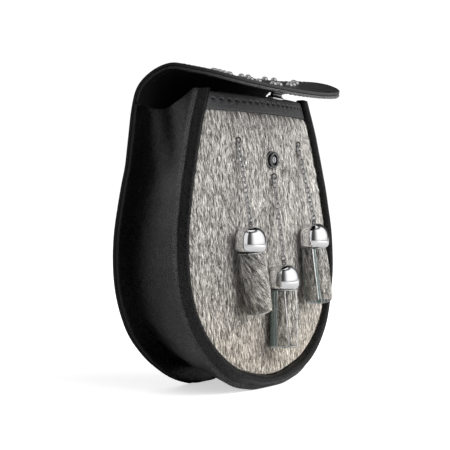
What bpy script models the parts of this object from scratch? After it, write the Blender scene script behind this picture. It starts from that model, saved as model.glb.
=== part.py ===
"""Sporran pouch: a small leather pouch with a fur front, standing by itself with its flap lifted open.

X runs across the pouch, -Y is the front and Z is up. Lengths below are millimetres in a measuring frame whose
floor is z = 0 and whose y = 0 is the foot of the front rim's plane. Meshes are made in metres.
"""
import math

import bmesh
import bpy
import numpy as np

MM = 0.001
ORIGIN_Y = 8.27         # measuring-frame y that becomes the middle of the whole object
FLOOR_Z = 0.6           # height below which the leather is pressed flat where it stands
CENTRE_Z = 85.0         # height of the middle of the rounded front and back outlines
GAP = 0.3               # clearance left between separate pieces
EDGE_GAP = 0.55         # clearance of the front panel's edge inside the rim
SEAT_GAP = 0.1          # extra clearance under studs and the snap socket, which sit on curved leather

FRONT_LEAN = 0.042      # the front plane leans back by this much per unit of height
FOOT_FORWARD = 4.2      # how far the foot of the front juts forward of that plane
FOOT_HEIGHT = 62.0      # height where it begins to
LEATHER = 1.9           # gusset leather
BACK_LEATHER = 1.8      # outer leather of the back and of the flap
LINING_LEATHER = 1.5    # inner leather of the flap
HIDE = 2.0              # hide of the fur front
MEAN_FUR = 1.0          # how far the hide lies behind the tips of the fur
BINDING = 1.3           # leather of the mouth binding

BACK_FACE_Y = 49.2      # outer face of the back
BACK_OUTLINE_TOP = 150.0    # the back follows its rounded outline up to this height
FLANGE_WIDTH = 11.0     # how far the gusset's root lies inside the back's outline
FLANGE_FRONT_Y = 45.3
FLANGE_EDGE = 0.15      # how far the flange's cut edge stops short of the back's outline
RIDGE_OUT = 8.2         # from the fur's edge out to the crease of the rolled rim
RIDGE_DEPTH = 2.9
WALL_TUCK = 0.25        # share of the flange's width that the wall turns in smoothly
WALL_SHARES = (0.06, 0.3, 0.62, 0.92, 1.04, 2.0)    # wall up to 1, flange from 1 to 2
GUSSET_STATIONS = 32
FOLD_FROM_Z = 118.0     # the wall's soft folds begin here and are full FOLD_RISE higher
FOLD_RISE = 45.0
FOLD_DEPTH = 1.1
FOLD_LENGTH = 7.5
FOLD_SLOPE = 1.6
WALL_SAG = 1.6

FLAP_ROUND_Y = 15.5     # where the flap's round end begins
FLAP_ROUND_LENGTH = 56.0
FLAP_ROUND_END = 0.9975     # share of that length at which the tip is cut square
FLAP_POWER = 2.06
FLAP_SIDE_X = 62.0      # the flap's curl and roll are given at this x
SHEET_COLUMNS = 8
LINING_FOOT_INSET = 14.0    # the lining's hidden foot passes between the gusset's flanges
LINING_INSET = 0.2

MOUTH_Z = 178.9         # top edge of the bound front panel
BINDING_FOOT_Z = 167.0  # the hide is thinned above this height, where the binding covers it
FRONT_COLUMNS = 8       # facets across the front panel and its binding
BOW_POWER = 0.8         # how full the bow of the front is towards its sides
SNAP_Z = 140.0          # height of the snap stud
SOCKET_Y = -8.4         # depth of the snap socket under the flap
SNAP_SEGMENTS = 12

CHAIN_LINKS = 16
LINK_LENGTH = 4.75
LINK_WIDTH = 3.3
LINK_WIRE = 0.9
WIRE_SIDES = 5
RING_RADIUS = 1.6
RING_WIRE = 0.5
RING_POINTS = 10
RING_SUNK = 0.3         # how deep the bell's ring is soldered into its top
BELL_SEGMENTS = 16

TASSEL_RADIUS = 8.6
TASSEL_STRIPS = 10
STRIP_SIDES = 3
STRIP_TURN = 0.35       # turn of the strips round the tassel, in sides
SWAY_POWER = 1.15        # how the tassel's sway grows towards its foot

STUD_PAIRS = 9
STUD_SPACING = 6.5      # between the two studs of a pair
STUD_PHASE = 0.62       # where on the oval the first pair stands, in pairs
STUD_OVAL_X = 40.0
STUD_OVAL_Y = 17.0
STUD_OVAL_CENTRE_Y = 8.0
STUD_SEGMENTS = 10

STRAP_FOOT_Z = 150.0
STRAP_TOP_Z = 174.0
STRAP_LEATHER = 2.0


def table(names, *rows):
    return {name: np.array([row[i] for row in rows], float) for i, name in enumerate(names.split())}


# Radii of the fur's edge and of the back's outline about (0, CENTRE_Z), by angle from straight down.
OUTLINE = table(
    "angle front back",
    (0, 76.5, 85.6),
    (15, 76.6, 85.0),
    (30, 78.9, 85.4),
    (45, 81.3, 87.5),
    (60, 83.2, 90.2),
    (75, 83.1, 90.8),
    (90, 82.1, 90.0),
    (105, 82.2, 89.4),
    (120, 85.5, 92.0),
    (131, 91.0, 100.0),
    (138.4, 97.0, 109.6),
    (145, 103.2, 119.0),
    (150, 109.1, 124.0),
    (160, 121.3, 133.0),
)

# The rolled rim's outer face: out from the fur's edge, and depth behind the front plane.
RIM = table(
    "out depth",
    (0.0, 2.4),
    (0.05, -1.0),
    (0.5, -3.0),
    (1.7, -4.0),
    (3.2, -3.9),
    (4.5, -1.4),
    (5.7, 1.5),
    (RIDGE_OUT, RIDGE_DEPTH),
)

# How much wider the rim is, as a share, by angle from straight down.
RIM_WIDER = table("angle share", (0, 0.08), (15, 0.19), (30, 0.30), (45, 0.15), (60, 0.0), (160, 0.0))

# The gusset's top edge, by depth.
GUSSET_TOP = table(
    "y z",
    (-10, 180.4),
    (11, 180.4),
    (12.5, 179.8),
    (19, 175.8),
    (24, 172.3),
    (29, 169.8),
    (33, 169.0),
    (41, 169.6),
    (45, 171.5),
    (47.1, 173.5),
    (50, 174.5),
)

# Bow of the fur front at its middle, by height.
BOW = table(
    "z bow",
    (8, 0.0),
    (20, 1.0),
    (40, 5.0),
    (70, 7.6),
    (100, 8.8),
    (140, 9.7),
    (168, 8.9),
    (178, 8.7),
)

# Heights of the front panel's rows of points.
FRONT_ROWS = (8.9, 11.0, 16.0, 25.0, 40.0, 62.0, 88.0, 114.0, 138.0, 156.0, 166.6, 167.7, 177.2)

# The binding's outer face over the top edge: depth behind the fur's tips, height, and which way its thickness
# goes.
BINDING_SECTION = table(
    "depth z thick_y thick_z",
    (0.0, 168.0, 1.0, 0.0),
    (0.0, 173.0, 1.0, 0.0),
    (0.1, 177.6, 1.0, -0.75),
    (0.9, MOUTH_Z, 0.5, -1.0),
    (MEAN_FUR + HIDE + GAP + 0.4, MOUTH_Z, -0.5, -1.0),
    (MEAN_FUR + HIDE + GAP + BINDING, 177.6, -1.0, -0.75),
    (MEAN_FUR + HIDE + GAP + BINDING, 171.0, -1.0, 0.0),
)

# Middle line of the outer leather from the foot of the back over the bend to the flap's tip: half-width, how
# far the sides curl up and how far the sheet rolls to one side.
SHEET = table(
    "y z half curl roll",
    (49.2, 0.0, 12.0, 0.0, 0.0),
    (49.2, 40.0, 78.3, 0.0, 0.0),
    (49.2, 80.0, 90.2, 0.0, 0.0),
    (49.2, 120.0, 83.1, 0.0, 0.0),
    (49.2, 150.0, 75.7, 0.0, 0.0),
    (49.2, 167.0, 72.7, 0.0, 0.0),
    (48.9, 174.5, 70.4, 0.3, 0.0),
    (47.4, 180.3, 69.0, 0.8, 0.0),
    (45.0, 184.2, 67.5, 1.1, -0.2),
    (41.0, 188.0, 65.5, 1.4, -0.5),
    (35.5, 191.5, 63.6, 1.4, -0.8),
    (27.0, 193.6, 62.6, 1.4, -0.87),
    (15.0, 191.4, 62.5, 2.3, 0.0),
    (0.0, 187.7, 62.5, 3.9, 1.1),
    (-15.0, 184.2, 62.5, 4.4, 1.9),
    (-30.0, 181.3, 62.5, 4.3, 2.3),
    (-41.0, 179.3, 62.5, 4.3, 2.6),
)
FLAP_START = 9
SHEET_FLAP = {name: column[FLAP_START:] for name, column in SHEET.items()}

# Rows of points on that leather: heights on the back and on the lining's foot, places on the bend, depths on
# the flap.
BACK_ROWS = (FLOOR_Z, 2.0, 6.0, 15.0, 28.0, 46.0, 68.0, 92.0, 120.0, 148.0, 166.0)
LINING_FOOT_ROWS = (150.0, 165.0, 174.6)
BEND_ROWS = table(
    "y z", (48.8, 175.2), (47.4, 180.3), (45.0, 184.2), (41.0, 188.0), (35.5, 191.5), (27.0, 193.6))
FLAP_ROWS = (15.5, 2.0, -10.0, -20.0, -28.5, -35.0, -38.8, -40.2)

# Snap stud and snap socket by height from the leather, and a flap stud's dome.
SNAP_STUD = table(
    "r h", (5.4, 0.0), (5.4, 0.6), (3.6, 1.4), (3.6, 2.1), (5.0, 2.4), (4.7, 3.3), (3.3, 3.4), (2.8, 2.4))
SNAP_SOCKET = table(
    "r h", (5.15, 0.0), (5.15, 1.1), (3.5, 1.8), (3.5, 3.2), (4.9, 3.9), (4.6, 5.1), (3.0, 5.1), (2.6, 3.6))
STUD_DOME = table("r h", (2.25, 0.0), (1.45, 1.75))

# Bell cap's section, from its inside over the lip to its outside, by height above its foot.
BELL = table(
    "r h",
    (6.6, 10.6),
    (8.2, 3.0),
    (6.5, 0.0),
    (7.5, 0.0),
    (9.5, 3.4),
    (9.2, 6.9),
    (7.3, 11.2),
    (3.2, 14.5),
)

# Tassel sections by how far they lie below the bell's foot: radius as a share, and depth of the slits.
TASSEL = table(
    "drop scale slit",
    (-8.0, 0.66, 0.0),
    (0.0, 0.70, 0.0),
    (0.6, 0.93, 0.6),
    (18.0, 1.00, 1.6),
    (36.0, 1.00, 1.6),
)

# The three hanging sets: chain ring, bell foot, tassel top, and the tassel's sway and flare at its foot.
HANGER_SIDES = ("left", "middle", "right")
HANGERS = table(
    "x ring_y ring_z bell_x bell_y foot_z top_z sway_x sway_y flare",
    (-35.4, -2.1, 149.0, -38.0, -12.4, 85.0, 84.6, 7.0, -2.0, -0.18),
    (0.0, -5.6, 128.3, -1.8, -13.7, 61.5, 61.1, 0.5, 0.0, 0.03),
    (35.4, -2.1, 149.0, 38.0, -12.4, 85.7, 85.3, 3.0, -2.4, 0.0),
)

# Strap loop: x, how far its inner face stands off the back, and how far its outer face shifts at the bends.
STRAP_RUN = table(
    "x off shift",
    (-35.0, 0.0, 0.0),
    (-27.0, 0.0, 0.6),
    (-22.0, 5.2, -0.9),
    (0.0, 5.3, 0.0),
    (22.0, 5.2, 0.9),
    (27.0, 0.0, -0.6),
    (35.0, 0.0, 0.0),
)


def value_at(tab, key, name, at):
    """Smooth value of one column against another, with no overshoot between the rows."""
    xs, ys = tab[key], tab[name]
    if xs[0] > xs[-1]:
        xs, ys = xs[::-1], ys[::-1]
    step = np.diff(xs)
    slope = np.diff(ys) / step
    tangent = np.zeros(len(ys))
    both = slope[:-1] * slope[1:]
    total = slope[:-1] + slope[1:]
    tangent[1:-1] = np.where(both > 0, 2 * both / np.where(both > 0, total, 1.0), 0.0)
    tangent[0] = slope[0]
    tangent[-1] = slope[-1]
    at = np.clip(np.asarray(at, float), xs[0], xs[-1])
    i = np.clip(np.searchsorted(xs, at, side="right") - 1, 0, len(step) - 1)
    t = (at - xs[i]) / step[i]
    a = (1 + 2 * t) * (1 - t) ** 2
    b = t * (1 - t) ** 2
    c = t * t * (3 - 2 * t)
    d = t * t * (t - 1)
    return a * ys[i] + b * step[i] * tangent[i] + c * ys[i + 1] + d * step[i] * tangent[i + 1]


def outline(side, angle):
    """Point (x, z) of the front's or the back's outline at an angle in degrees from straight down."""
    r = value_at(OUTLINE, "angle", side, np.abs(angle))
    a = np.radians(angle)
    return r * np.sin(a), CENTRE_Z - r * np.cos(a)


def outline_normal(side, angle):
    x0, z0 = outline(side, np.asarray(angle) - 0.5)
    x1, z1 = outline(side, np.asarray(angle) + 0.5)
    length = np.hypot(x1 - x0, z1 - z0)
    return (z1 - z0) / length, -(x1 - x0) / length


def half_width(side, z, inset=0.0):
    """Half-width at a height of the front's or the back's outline, or of that outline drawn in by an inset."""
    last = OUTLINE["angle"][-1]
    angles = np.linspace(0.0, last, int(2 * last) + 1)
    x, height = outline(side, angles)
    normal_x, normal_z = outline_normal(side, angles)
    return np.interp(z, height - normal_z * inset, x - normal_x * inset)


def front_plane(z):
    """Depth of the plane that the rim and the front panel's edge lie in."""
    low = np.clip(1.0 - np.asarray(z) / FOOT_HEIGHT, 0.0, 1.0)
    return FRONT_LEAN * np.asarray(z) - FOOT_FORWARD * low * low * (3 - 2 * low)


def front_face(x, z):
    """Depth of the bowed front at the tips of its fur."""
    half = np.maximum(half_width("front", z), 1.0)
    across = np.clip(1.0 - (np.asarray(x) / half) ** 2, 0.0, 1.0) ** BOW_POWER
    return front_plane(z) - value_at(BOW, "z", "bow", z) * across


def material(name, color, roughness, metallic=0.0):
    made = bpy.data.materials.new(name)
    made.use_nodes = True
    shader = made.node_tree.nodes["Principled BSDF"]
    shader.inputs["Base Color"].default_value = (*color, 1.0)
    shader.inputs["Roughness"].default_value = roughness
    shader.inputs["Metallic"].default_value = metallic
    made.diffuse_color = (*color, 1.0)
    return made


def add_object(name, points, faces, mat, smooth_angle=40.0):
    """A closed mesh object from points in the measuring frame, faces turned outward."""
    mesh = bpy.data.meshes.new(name)
    shifted = [(p[0] * MM, (p[1] - ORIGIN_Y) * MM, (p[2] - FLOOR_Z) * MM) for p in points]
    mesh.from_pydata(shifted, [], faces)
    bm = bmesh.new()
    bm.from_mesh(mesh)
    bmesh.ops.recalc_face_normals(bm, faces=bm.faces)
    if bm.calc_volume(signed=True) < 0:
        bmesh.ops.reverse_faces(bm, faces=bm.faces)
    bm.to_mesh(mesh)
    bm.free()
    mesh.materials.append(mat)
    mesh.shade_smooth()
    mesh.set_sharp_from_angle(angle=math.radians(smooth_angle))
    made = bpy.data.objects.new(name, mesh)
    bpy.context.scene.collection.objects.link(made)
    return made


def plate(name, outer, inner, mat, smooth_angle=40.0):
    """A closed sheet between two grids of the same size."""
    rows, columns = outer.shape[:2]
    points = np.concatenate([outer.reshape(-1, 3), inner.reshape(-1, 3)])

    def at(layer, i, j):
        return layer * rows * columns + i * columns + j

    faces = []
    for i in range(rows - 1):
        for j in range(columns - 1):
            faces.append((at(0, i, j), at(0, i, j + 1), at(0, i + 1, j + 1), at(0, i + 1, j)))
            faces.append((at(1, i, j), at(1, i + 1, j), at(1, i + 1, j + 1), at(1, i, j + 1)))
    end, side = rows - 1, columns - 1
    for j in range(side):
        faces.append((at(0, 0, j), at(1, 0, j), at(1, 0, j + 1), at(0, 0, j + 1)))
        faces.append((at(0, end, j), at(0, end, j + 1), at(1, end, j + 1), at(1, end, j)))
    for i in range(end):
        faces.append((at(0, i, 0), at(0, i + 1, 0), at(1, i + 1, 0), at(1, i, 0)))
        faces.append((at(0, i, side), at(1, i, side), at(1, i + 1, side), at(0, i + 1, side)))
    return add_object(name, points, faces, mat, smooth_angle)


def grid_normals(grid):
    along = np.gradient(grid, axis=0)
    across = np.gradient(grid, axis=1)
    normal = np.cross(along, across)
    return normal / np.maximum(np.linalg.norm(normal, axis=2, keepdims=True), 1e-9)


def turned(name, profile, centre, axis, segments, mat):
    """A lathe piece: rings of radius r at height h along an axis, its two ends filled."""
    centre = np.array(centre, float)
    axis = np.array(axis, float) / np.linalg.norm(axis)
    side = np.array((1.0, 0.0, 0.0))
    other = np.cross(axis, side)
    points = []
    for r, h in zip(profile["r"], profile["h"]):
        for k in range(segments):
            a = 2 * math.pi * k / segments
            points.append(centre + axis * h + side * r * math.cos(a) + other * r * math.sin(a))
    faces = []
    last = len(profile["r"]) - 1
    for i in range(last):
        for k in range(segments):
            n = (k + 1) % segments
            faces.append((i * segments + k, i * segments + n, (i + 1) * segments + n, (i + 1) * segments + k))
    faces.append(tuple(range(segments - 1, -1, -1)))
    faces.append(tuple(last * segments + k for k in range(segments)))
    return add_object(name, points, faces, mat)


def tube_loop(path, wire):
    """Points and faces of a closed wire loop that follows a flat path of points."""
    path = np.array(path, float)
    count = len(path)
    middle = path.mean(axis=0)
    plane = np.cross(path[1] - path[0], path[2] - path[1])
    plane = plane / np.linalg.norm(plane)
    points = []
    for i in range(count):
        ahead = path[(i + 1) % count] - path[i]
        behind = path[i] - path[i - 1]
        ahead = ahead / np.linalg.norm(ahead)
        behind = behind / np.linalg.norm(behind)
        tangent = ahead + behind
        tangent = tangent / np.linalg.norm(tangent)
        inward = np.cross(plane, tangent)
        if np.dot(inward, middle - path[i]) < 0:
            inward = -inward
        stretch = 1.0 / max(0.5, float(np.dot(ahead, tangent)))
        for k in range(WIRE_SIDES):
            a = 2 * math.pi * k / WIRE_SIDES
            points.append(path[i] + wire * (inward * math.cos(a) * stretch + plane * math.sin(a)))
    faces = []
    for i in range(count):
        j = (i + 1) % count
        for k in range(WIRE_SIDES):
            n = (k + 1) % WIRE_SIDES
            faces.append((i * WIRE_SIDES + k, i * WIRE_SIDES + n, j * WIRE_SIDES + n, j * WIRE_SIDES + k))
    return points, faces


def fuse(first, second):
    """Joins two objects that overlap into one closed solid."""
    union = first.modifiers.new("fused", "BOOLEAN")
    union.operation = "UNION"
    union.solver = "EXACT"
    union.object = second
    second.hide_render = True
    second.display_type = "WIRE"
    bpy.context.view_layer.update()
    seen = first.evaluated_get(bpy.context.evaluated_depsgraph_get())
    mesh = bpy.data.meshes.new_from_object(seen)
    first.modifiers.clear()
    first.data = mesh
    bpy.data.objects.remove(second, do_unlink=True)
    mesh.shade_smooth()
    mesh.set_sharp_from_angle(angle=math.radians(40.0))
    return first


def back_and_flap(mat):
    """Outer leather: flat back, bend over the mouth and the flap with its round end."""
    rows = sheet_rows(BACK_ROWS)
    outer = sheet_grid(rows, 0.0, 0.0)
    inner = sheet_grid(rows, BACK_LEATHER, 0.0)
    return plate("back_and_flap", outer, inner, mat)


def flap_lining(mat):
    """Inner leather of the flap and the bend, with a narrower hidden foot between the gusset's flanges."""
    depth = BACK_LEATHER + GAP
    rows = sheet_rows(LINING_FOOT_ROWS)
    narrow = [LINING_FOOT_INSET if i < len(LINING_FOOT_ROWS) else LINING_INSET for i in range(len(rows))]
    outer = sheet_grid(rows, depth, narrow)
    inner = sheet_grid(rows, depth + LINING_LEATHER, narrow)
    return plate("flap_lining", outer, inner, mat)


def sheet_rows(heights):
    """Rows of the leather as places along its middle line, from the given heights to the flap's tip."""
    along = sheet_length()
    rows = [float(h) for h in heights]
    for y, z in zip(BEND_ROWS["y"], BEND_ROWS["z"]):
        rows.append(float(np.interp(-y + z * 0.001, -SHEET["y"] + SHEET["z"] * 0.001, along)))
    for y in FLAP_ROWS:
        rows.append(float(np.interp(-y, -SHEET_FLAP["y"], along[FLAP_START:])))
    return rows


def sheet_length():
    steps = np.hypot(np.diff(SHEET["y"]), np.diff(SHEET["z"]))
    return np.concatenate([[0.0], np.cumsum(steps)])


def sheet_grid(rows, depth, narrow):
    """Points of the outer leather's surface, or of a layer at a depth under it."""
    line = dict(SHEET, s=sheet_length())
    rows = np.array(rows)
    narrow = np.broadcast_to(np.array(narrow, float), rows.shape)
    y = value_at(line, "s", "y", rows)
    z = value_at(line, "s", "z", rows)
    y1 = value_at(line, "s", "y", rows + 0.5)
    z1 = value_at(line, "s", "z", rows + 0.5)
    y0 = value_at(line, "s", "y", rows - 0.5)
    z0 = value_at(line, "s", "z", rows - 0.5)
    length = np.hypot(y1 - y0, z1 - z0)
    out_y = (z1 - z0) / length
    out_z = -(y1 - y0) / length
    half = value_at(line, "s", "half", rows)
    half = np.where(z < BACK_OUTLINE_TOP, half_width("back", z), half)
    reach = np.clip((FLAP_ROUND_Y - y) / FLAP_ROUND_LENGTH, 0.0, FLAP_ROUND_END)
    half = half * (1.0 - reach ** FLAP_POWER) ** (1.0 / FLAP_POWER) - narrow
    curl = value_at(line, "s", "curl", rows)
    roll = value_at(line, "s", "roll", rows)
    u = np.linspace(-1.0, 1.0, SHEET_COLUMNS + 1)
    x = half[:, None] * u[None, :]
    across = x / FLAP_SIDE_X
    lift = curl[:, None] * across ** 2 + roll[:, None] * across - depth
    return np.stack([x, y[:, None] + lift * out_y[:, None], z[:, None] + lift * out_z[:, None]], axis=2)


def gusset_point(k, share, angle):
    """Point of the gusset's outer face: k counts the rim's points, share runs over wall and flange."""
    front_x, front_z = outline("front", angle)
    front_nx, front_nz = outline_normal("front", angle)
    widen = 1.0 + value_at(RIM_WIDER, "angle", "share", np.abs(angle))
    if k is not None:
        out = RIM["out"][k] * widen
        x = front_x + front_nx * out
        z = front_z + front_nz * out
        return x, front_plane(z) + RIM["depth"][k], z
    back_x, back_z = outline("back", angle)
    back_nx, back_nz = outline_normal("back", angle)
    if share > 1.0:
        inset = FLANGE_WIDTH - (share - 1.0) * (FLANGE_WIDTH - FLANGE_EDGE)
        x = back_x - back_nx * inset
        z = back_z - back_nz * inset
        return x, np.full(np.shape(z), FLANGE_FRONT_Y), z
    ridge_x = front_x + front_nx * RIDGE_OUT * widen
    ridge_z = front_z + front_nz * RIDGE_OUT * widen
    ridge_y = front_plane(ridge_z) + RIDGE_DEPTH
    inset = FLANGE_WIDTH * ((1.0 - WALL_TUCK) * share + WALL_TUCK * math.sin(math.pi * share / 2))
    x = ridge_x + (back_x - ridge_x) * share - back_nx * inset
    z = ridge_z + (back_z - ridge_z) * share - back_nz * inset
    y = ridge_y + (FLANGE_FRONT_Y - 0.4 - ridge_y) * share
    high = np.clip((z - FOLD_FROM_Z) / FOLD_RISE, 0.0, 1.0) * math.sin(math.pi * share)
    sunk = high * (WALL_SAG + FOLD_DEPTH * np.sin((z - FOLD_SLOPE * y) / FOLD_LENGTH))
    return x - back_nx * sunk, y, z - back_nz * sunk


def gusset_grid():
    """Outer face of the gusset: rim, wall and flange, swept round the sides and the bottom."""
    lines = [(k, 0.0) for k in range(len(RIM["out"]))]
    lines += [(None, share) for share in WALL_SHARES]
    grid = np.zeros((GUSSET_STATIONS, len(lines), 3))
    spread = np.linspace(-1.0, 1.0, GUSSET_STATIONS)
    for j, (k, share) in enumerate(lines):
        low, high = 90.0, 158.0
        for _ in range(40):
            middle = 0.5 * (low + high)
            x, y, z = gusset_point(k, share, middle)
            if z < value_at(GUSSET_TOP, "y", "z", y):
                low = middle
            else:
                high = middle
        x, y, z = gusset_point(k, share, spread * low)
        grid[:, j] = np.stack([x, y, z], axis=1)
    return grid


def gusset(mat):
    """Soft side wall round both sides and the bottom, rolled rim in front, sewn flange behind."""
    outer = gusset_grid()
    normal = grid_normals(outer)
    wall_middle = len(RIM["out"]) + 1
    if normal[GUSSET_STATIONS // 2, wall_middle, 2] > 0:
        normal = -normal
    inner = outer - normal * LEATHER
    inner[:, -2:] = outer[:, -2:]
    inner[:, -2:, 1] += BACK_LEATHER
    outer[:, :, 2] = np.maximum(outer[:, :, 2], FLOOR_Z)
    inner[:, :, 2] = np.maximum(inner[:, :, 2], FLOOR_Z)
    return plate("gusset", outer, inner, mat)


def front_columns():
    """Places across the front from -1 to 1, closer together towards the sides."""
    return np.sin(np.radians(np.linspace(-90.0, 90.0, FRONT_COLUMNS + 1)))


def fur_front(mat):
    """Front panel: hide with short fur, bowed forward inside the rim."""
    heights = np.array(FRONT_ROWS)
    half = half_width("front", heights, EDGE_GAP)
    x = half[:, None] * front_columns()[None, :]
    z = np.broadcast_to(heights[:, None], x.shape)
    face = front_face(x, z)
    behind = np.where(heights > BINDING_FOOT_Z, BINDING + GAP, MEAN_FUR)
    outer = np.stack([x, face + behind[:, None], z], axis=2)
    inner = np.stack([x, face + MEAN_FUR + HIDE, z], axis=2)
    return plate("fur_front", outer, inner, mat)


def mouth_binding(mat):
    """Leather strip folded over the top edge of the front panel."""
    u = front_columns()
    outer = np.zeros((len(u), len(BINDING_SECTION["z"]), 3))
    inner = np.zeros_like(outer)
    for j in range(len(BINDING_SECTION["z"])):
        for grid, share in ((outer, 0.0), (inner, BINDING)):
            z = np.full(len(u), BINDING_SECTION["z"][j] + share * BINDING_SECTION["thick_z"][j])
            x = u * half_width("front", z, EDGE_GAP)
            y = front_face(x, z) + BINDING_SECTION["depth"][j] + share * BINDING_SECTION["thick_y"][j]
            grid[:, j] = np.stack([x, y, z], axis=1)
    return plate("mouth_binding", outer, inner, mat)


def snap_stud(mat):
    y = float(front_face(0.0, SNAP_Z)) + MEAN_FUR - GAP
    return turned("snap_stud", SNAP_STUD, (0.0, y, SNAP_Z), (0, -1, 0), SNAP_SEGMENTS, mat)


def snap_socket(mat):
    """The other half of the snap, square to the flap's underside."""
    point, upward = flap_place(0.0, SOCKET_Y)
    top = point - upward * (BACK_LEATHER + LINING_LEATHER + 2 * GAP + SEAT_GAP)
    return turned("snap_socket", SNAP_SOCKET, top, -upward, SNAP_SEGMENTS, mat)


def flap_height(x, y):
    """Height of the flap's upper face."""
    middle = value_at(SHEET_FLAP, "y", "z", y)
    curl = value_at(SHEET_FLAP, "y", "curl", y)
    roll = value_at(SHEET_FLAP, "y", "roll", y)
    across = np.asarray(x) / FLAP_SIDE_X
    return middle + curl * across ** 2 + roll * across


def flap_place(x, y):
    """A point of the flap's upper face and the direction square to it."""
    slope_x = float(flap_height(x + 1, y) - flap_height(x - 1, y)) / 2
    slope_y = float(flap_height(x, y + 1) - flap_height(x, y - 1)) / 2
    upward = np.array((-slope_x, -slope_y, 1.0))
    return np.array((x, y, float(flap_height(x, y)))), upward / np.linalg.norm(upward)


def flap_studs(mat):
    """Small domed studs set in pairs on an oval ring on the flap."""
    turn = np.linspace(0.0, 2 * math.pi, 721)
    oval_x = STUD_OVAL_X * np.cos(turn)
    oval_y = STUD_OVAL_CENTRE_Y + STUD_OVAL_Y * np.sin(turn)
    length = np.concatenate([[0.0], np.cumsum(np.hypot(np.diff(oval_x), np.diff(oval_y)))])
    number = 0
    for pair in range(STUD_PAIRS):
        for half in (-0.5, 0.5):
            number += 1
            place = (length[-1] * (pair + STUD_PHASE) / STUD_PAIRS + half * STUD_SPACING) % length[-1]
            x = float(np.interp(place, length, oval_x))
            y = float(np.interp(place, length, oval_y))
            point, upward = flap_place(x, y)
            seat = point + upward * (GAP + SEAT_GAP)
            turned(f"flap_stud_{number:02d}", STUD_DOME, seat, upward, STUD_SEGMENTS, mat)


def ring_path(centre, across, up):
    centre, across, up = (np.array(v, float) for v in (centre, across, up))
    turns = (2 * math.pi * (k + 0.5) / RING_POINTS for k in range(RING_POINTS))
    return [centre + RING_RADIUS * (across * math.cos(a) + up * math.sin(a)) for a in turns]


def chain_staple(name, top, mat):
    """Wire ring that stands out of the hide and holds a chain."""
    centre = np.array(top) + np.array((0.0, 0.0, RING_RADIUS))
    points, faces = tube_loop(ring_path(centre, (0, 1, 0), (0, 0, 1)), RING_WIRE)
    return add_object(name, points, faces, mat)


def link_path(centre, across, down):
    """Middle line of one oval link: two half circles and two straights, ten points."""
    r = (LINK_WIDTH - LINK_WIRE) / 2
    straight = (LINK_LENGTH - LINK_WIRE) / 2 - r
    path = []
    for end, turns in ((1, (0, 45, 90, 135, 180)), (-1, (180, 225, 270, 315, 360))):
        for turn in turns:
            a = math.radians(turn)
            path.append(centre + across * r * math.cos(a) + down * (end * straight + r * math.sin(a)))
    return path


def chain(name, top, bottom, mat):
    """A fine chain of oval links, each turned a quarter from the one before."""
    top = np.array(top, float)
    bottom = np.array(bottom, float)
    length = np.linalg.norm(bottom - top)
    down = (bottom - top) / length
    wide = np.array((1.0, 0.0, 0.0))
    wide = wide - down * np.dot(wide, down)
    wide = wide / np.linalg.norm(wide)
    deep = np.cross(down, wide)
    inside = LINK_LENGTH / 2 - LINK_WIRE / 2 * (1.0 + 1.0 / math.cos(math.pi / 8))
    first = inside - RING_WIRE - GAP
    pitch = (length - 2 * first) / (CHAIN_LINKS - 1)
    sets = []
    for parity, across in enumerate((wide, deep)):
        points, faces = [], []
        for i in range(parity, CHAIN_LINKS, 2):
            centre = top + down * (first + pitch * i)
            link, quads = tube_loop(link_path(centre, across, down), LINK_WIRE / 2)
            base = len(points)
            points += link
            faces += [tuple(base + n for n in quad) for quad in quads]
        sets.append(add_object(name if parity == 0 else name + "_even", points, faces, mat))
    return fuse(*sets)


def bell(name, centre, foot_z, mat):
    """Domed cap that holds a tassel's head, with a soldered ring on top."""
    cap = turned(name, BELL, (centre[0], centre[1], foot_z), (0, 0, 1), BELL_SEGMENTS, mat)
    ring_centre = (centre[0], centre[1], foot_z + BELL["h"][-1] + RING_RADIUS - RING_SUNK)
    points, faces = tube_loop(ring_path(ring_centre, (1, 0, 0), (0, 0, 1)), RING_WIRE)
    return fuse(cap, add_object(name + "_ring", points, faces, mat))


def bell_ring_top(centre, foot_z):
    return centre[0], centre[1], foot_z + BELL["h"][-1] + 2 * RING_RADIUS - RING_SUNK


def tassel(name, centre, top_z, sway, flare, mat):
    """Rolled strips of hide with slits between them, fused to a plain head inside the bell."""
    points = []
    around = TASSEL_STRIPS * STRIP_SIDES
    last = TASSEL["drop"][-1]
    for drop, scale, slit in zip(TASSEL["drop"], TASSEL["scale"], TASSEL["slit"]):
        low = max(0.0, drop) / last
        for k in range(around):
            a = 2 * math.pi * (k + STRIP_TURN) / around
            r = TASSEL_RADIUS * scale * (1.0 + flare * low * low)
            if k % STRIP_SIDES == 0:
                r -= slit
            x = centre[0] + r * math.cos(a) + sway[0] * low ** SWAY_POWER
            y = centre[1] + r * math.sin(a) + sway[1] * low ** SWAY_POWER
            points.append((x, y, top_z - drop))
    faces = []
    rings = len(TASSEL["drop"])
    for i in range(rings - 1):
        for k in range(around):
            n = (k + 1) % around
            faces.append((i * around + k, i * around + n, (i + 1) * around + n, (i + 1) * around + k))
    faces.append(tuple(range(around)))
    faces.append(tuple((rings - 1) * around + k for k in range(around)))
    return add_object(name, points, faces, mat, 30.0)


def hangers(nickel, chrome, strips):
    """The three sets of ring, chain, bell and tassel that hang on the front."""
    for i, side in enumerate(HANGER_SIDES):
        row = {name: column[i] for name, column in HANGERS.items()}
        ring = (row["x"], row["ring_y"], row["ring_z"])
        centre = (row["bell_x"], row["bell_y"])
        chain_staple("chain_staple_" + side, ring, nickel)
        chain("chain_" + side, ring, bell_ring_top(centre, row["foot_z"]), nickel)
        bell("bell_" + side, centre, row["foot_z"], chrome)
        tassel("tassel_" + side, centre, row["top_z"], (row["sway_x"], row["sway_y"]), row["flare"], strips)


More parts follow.
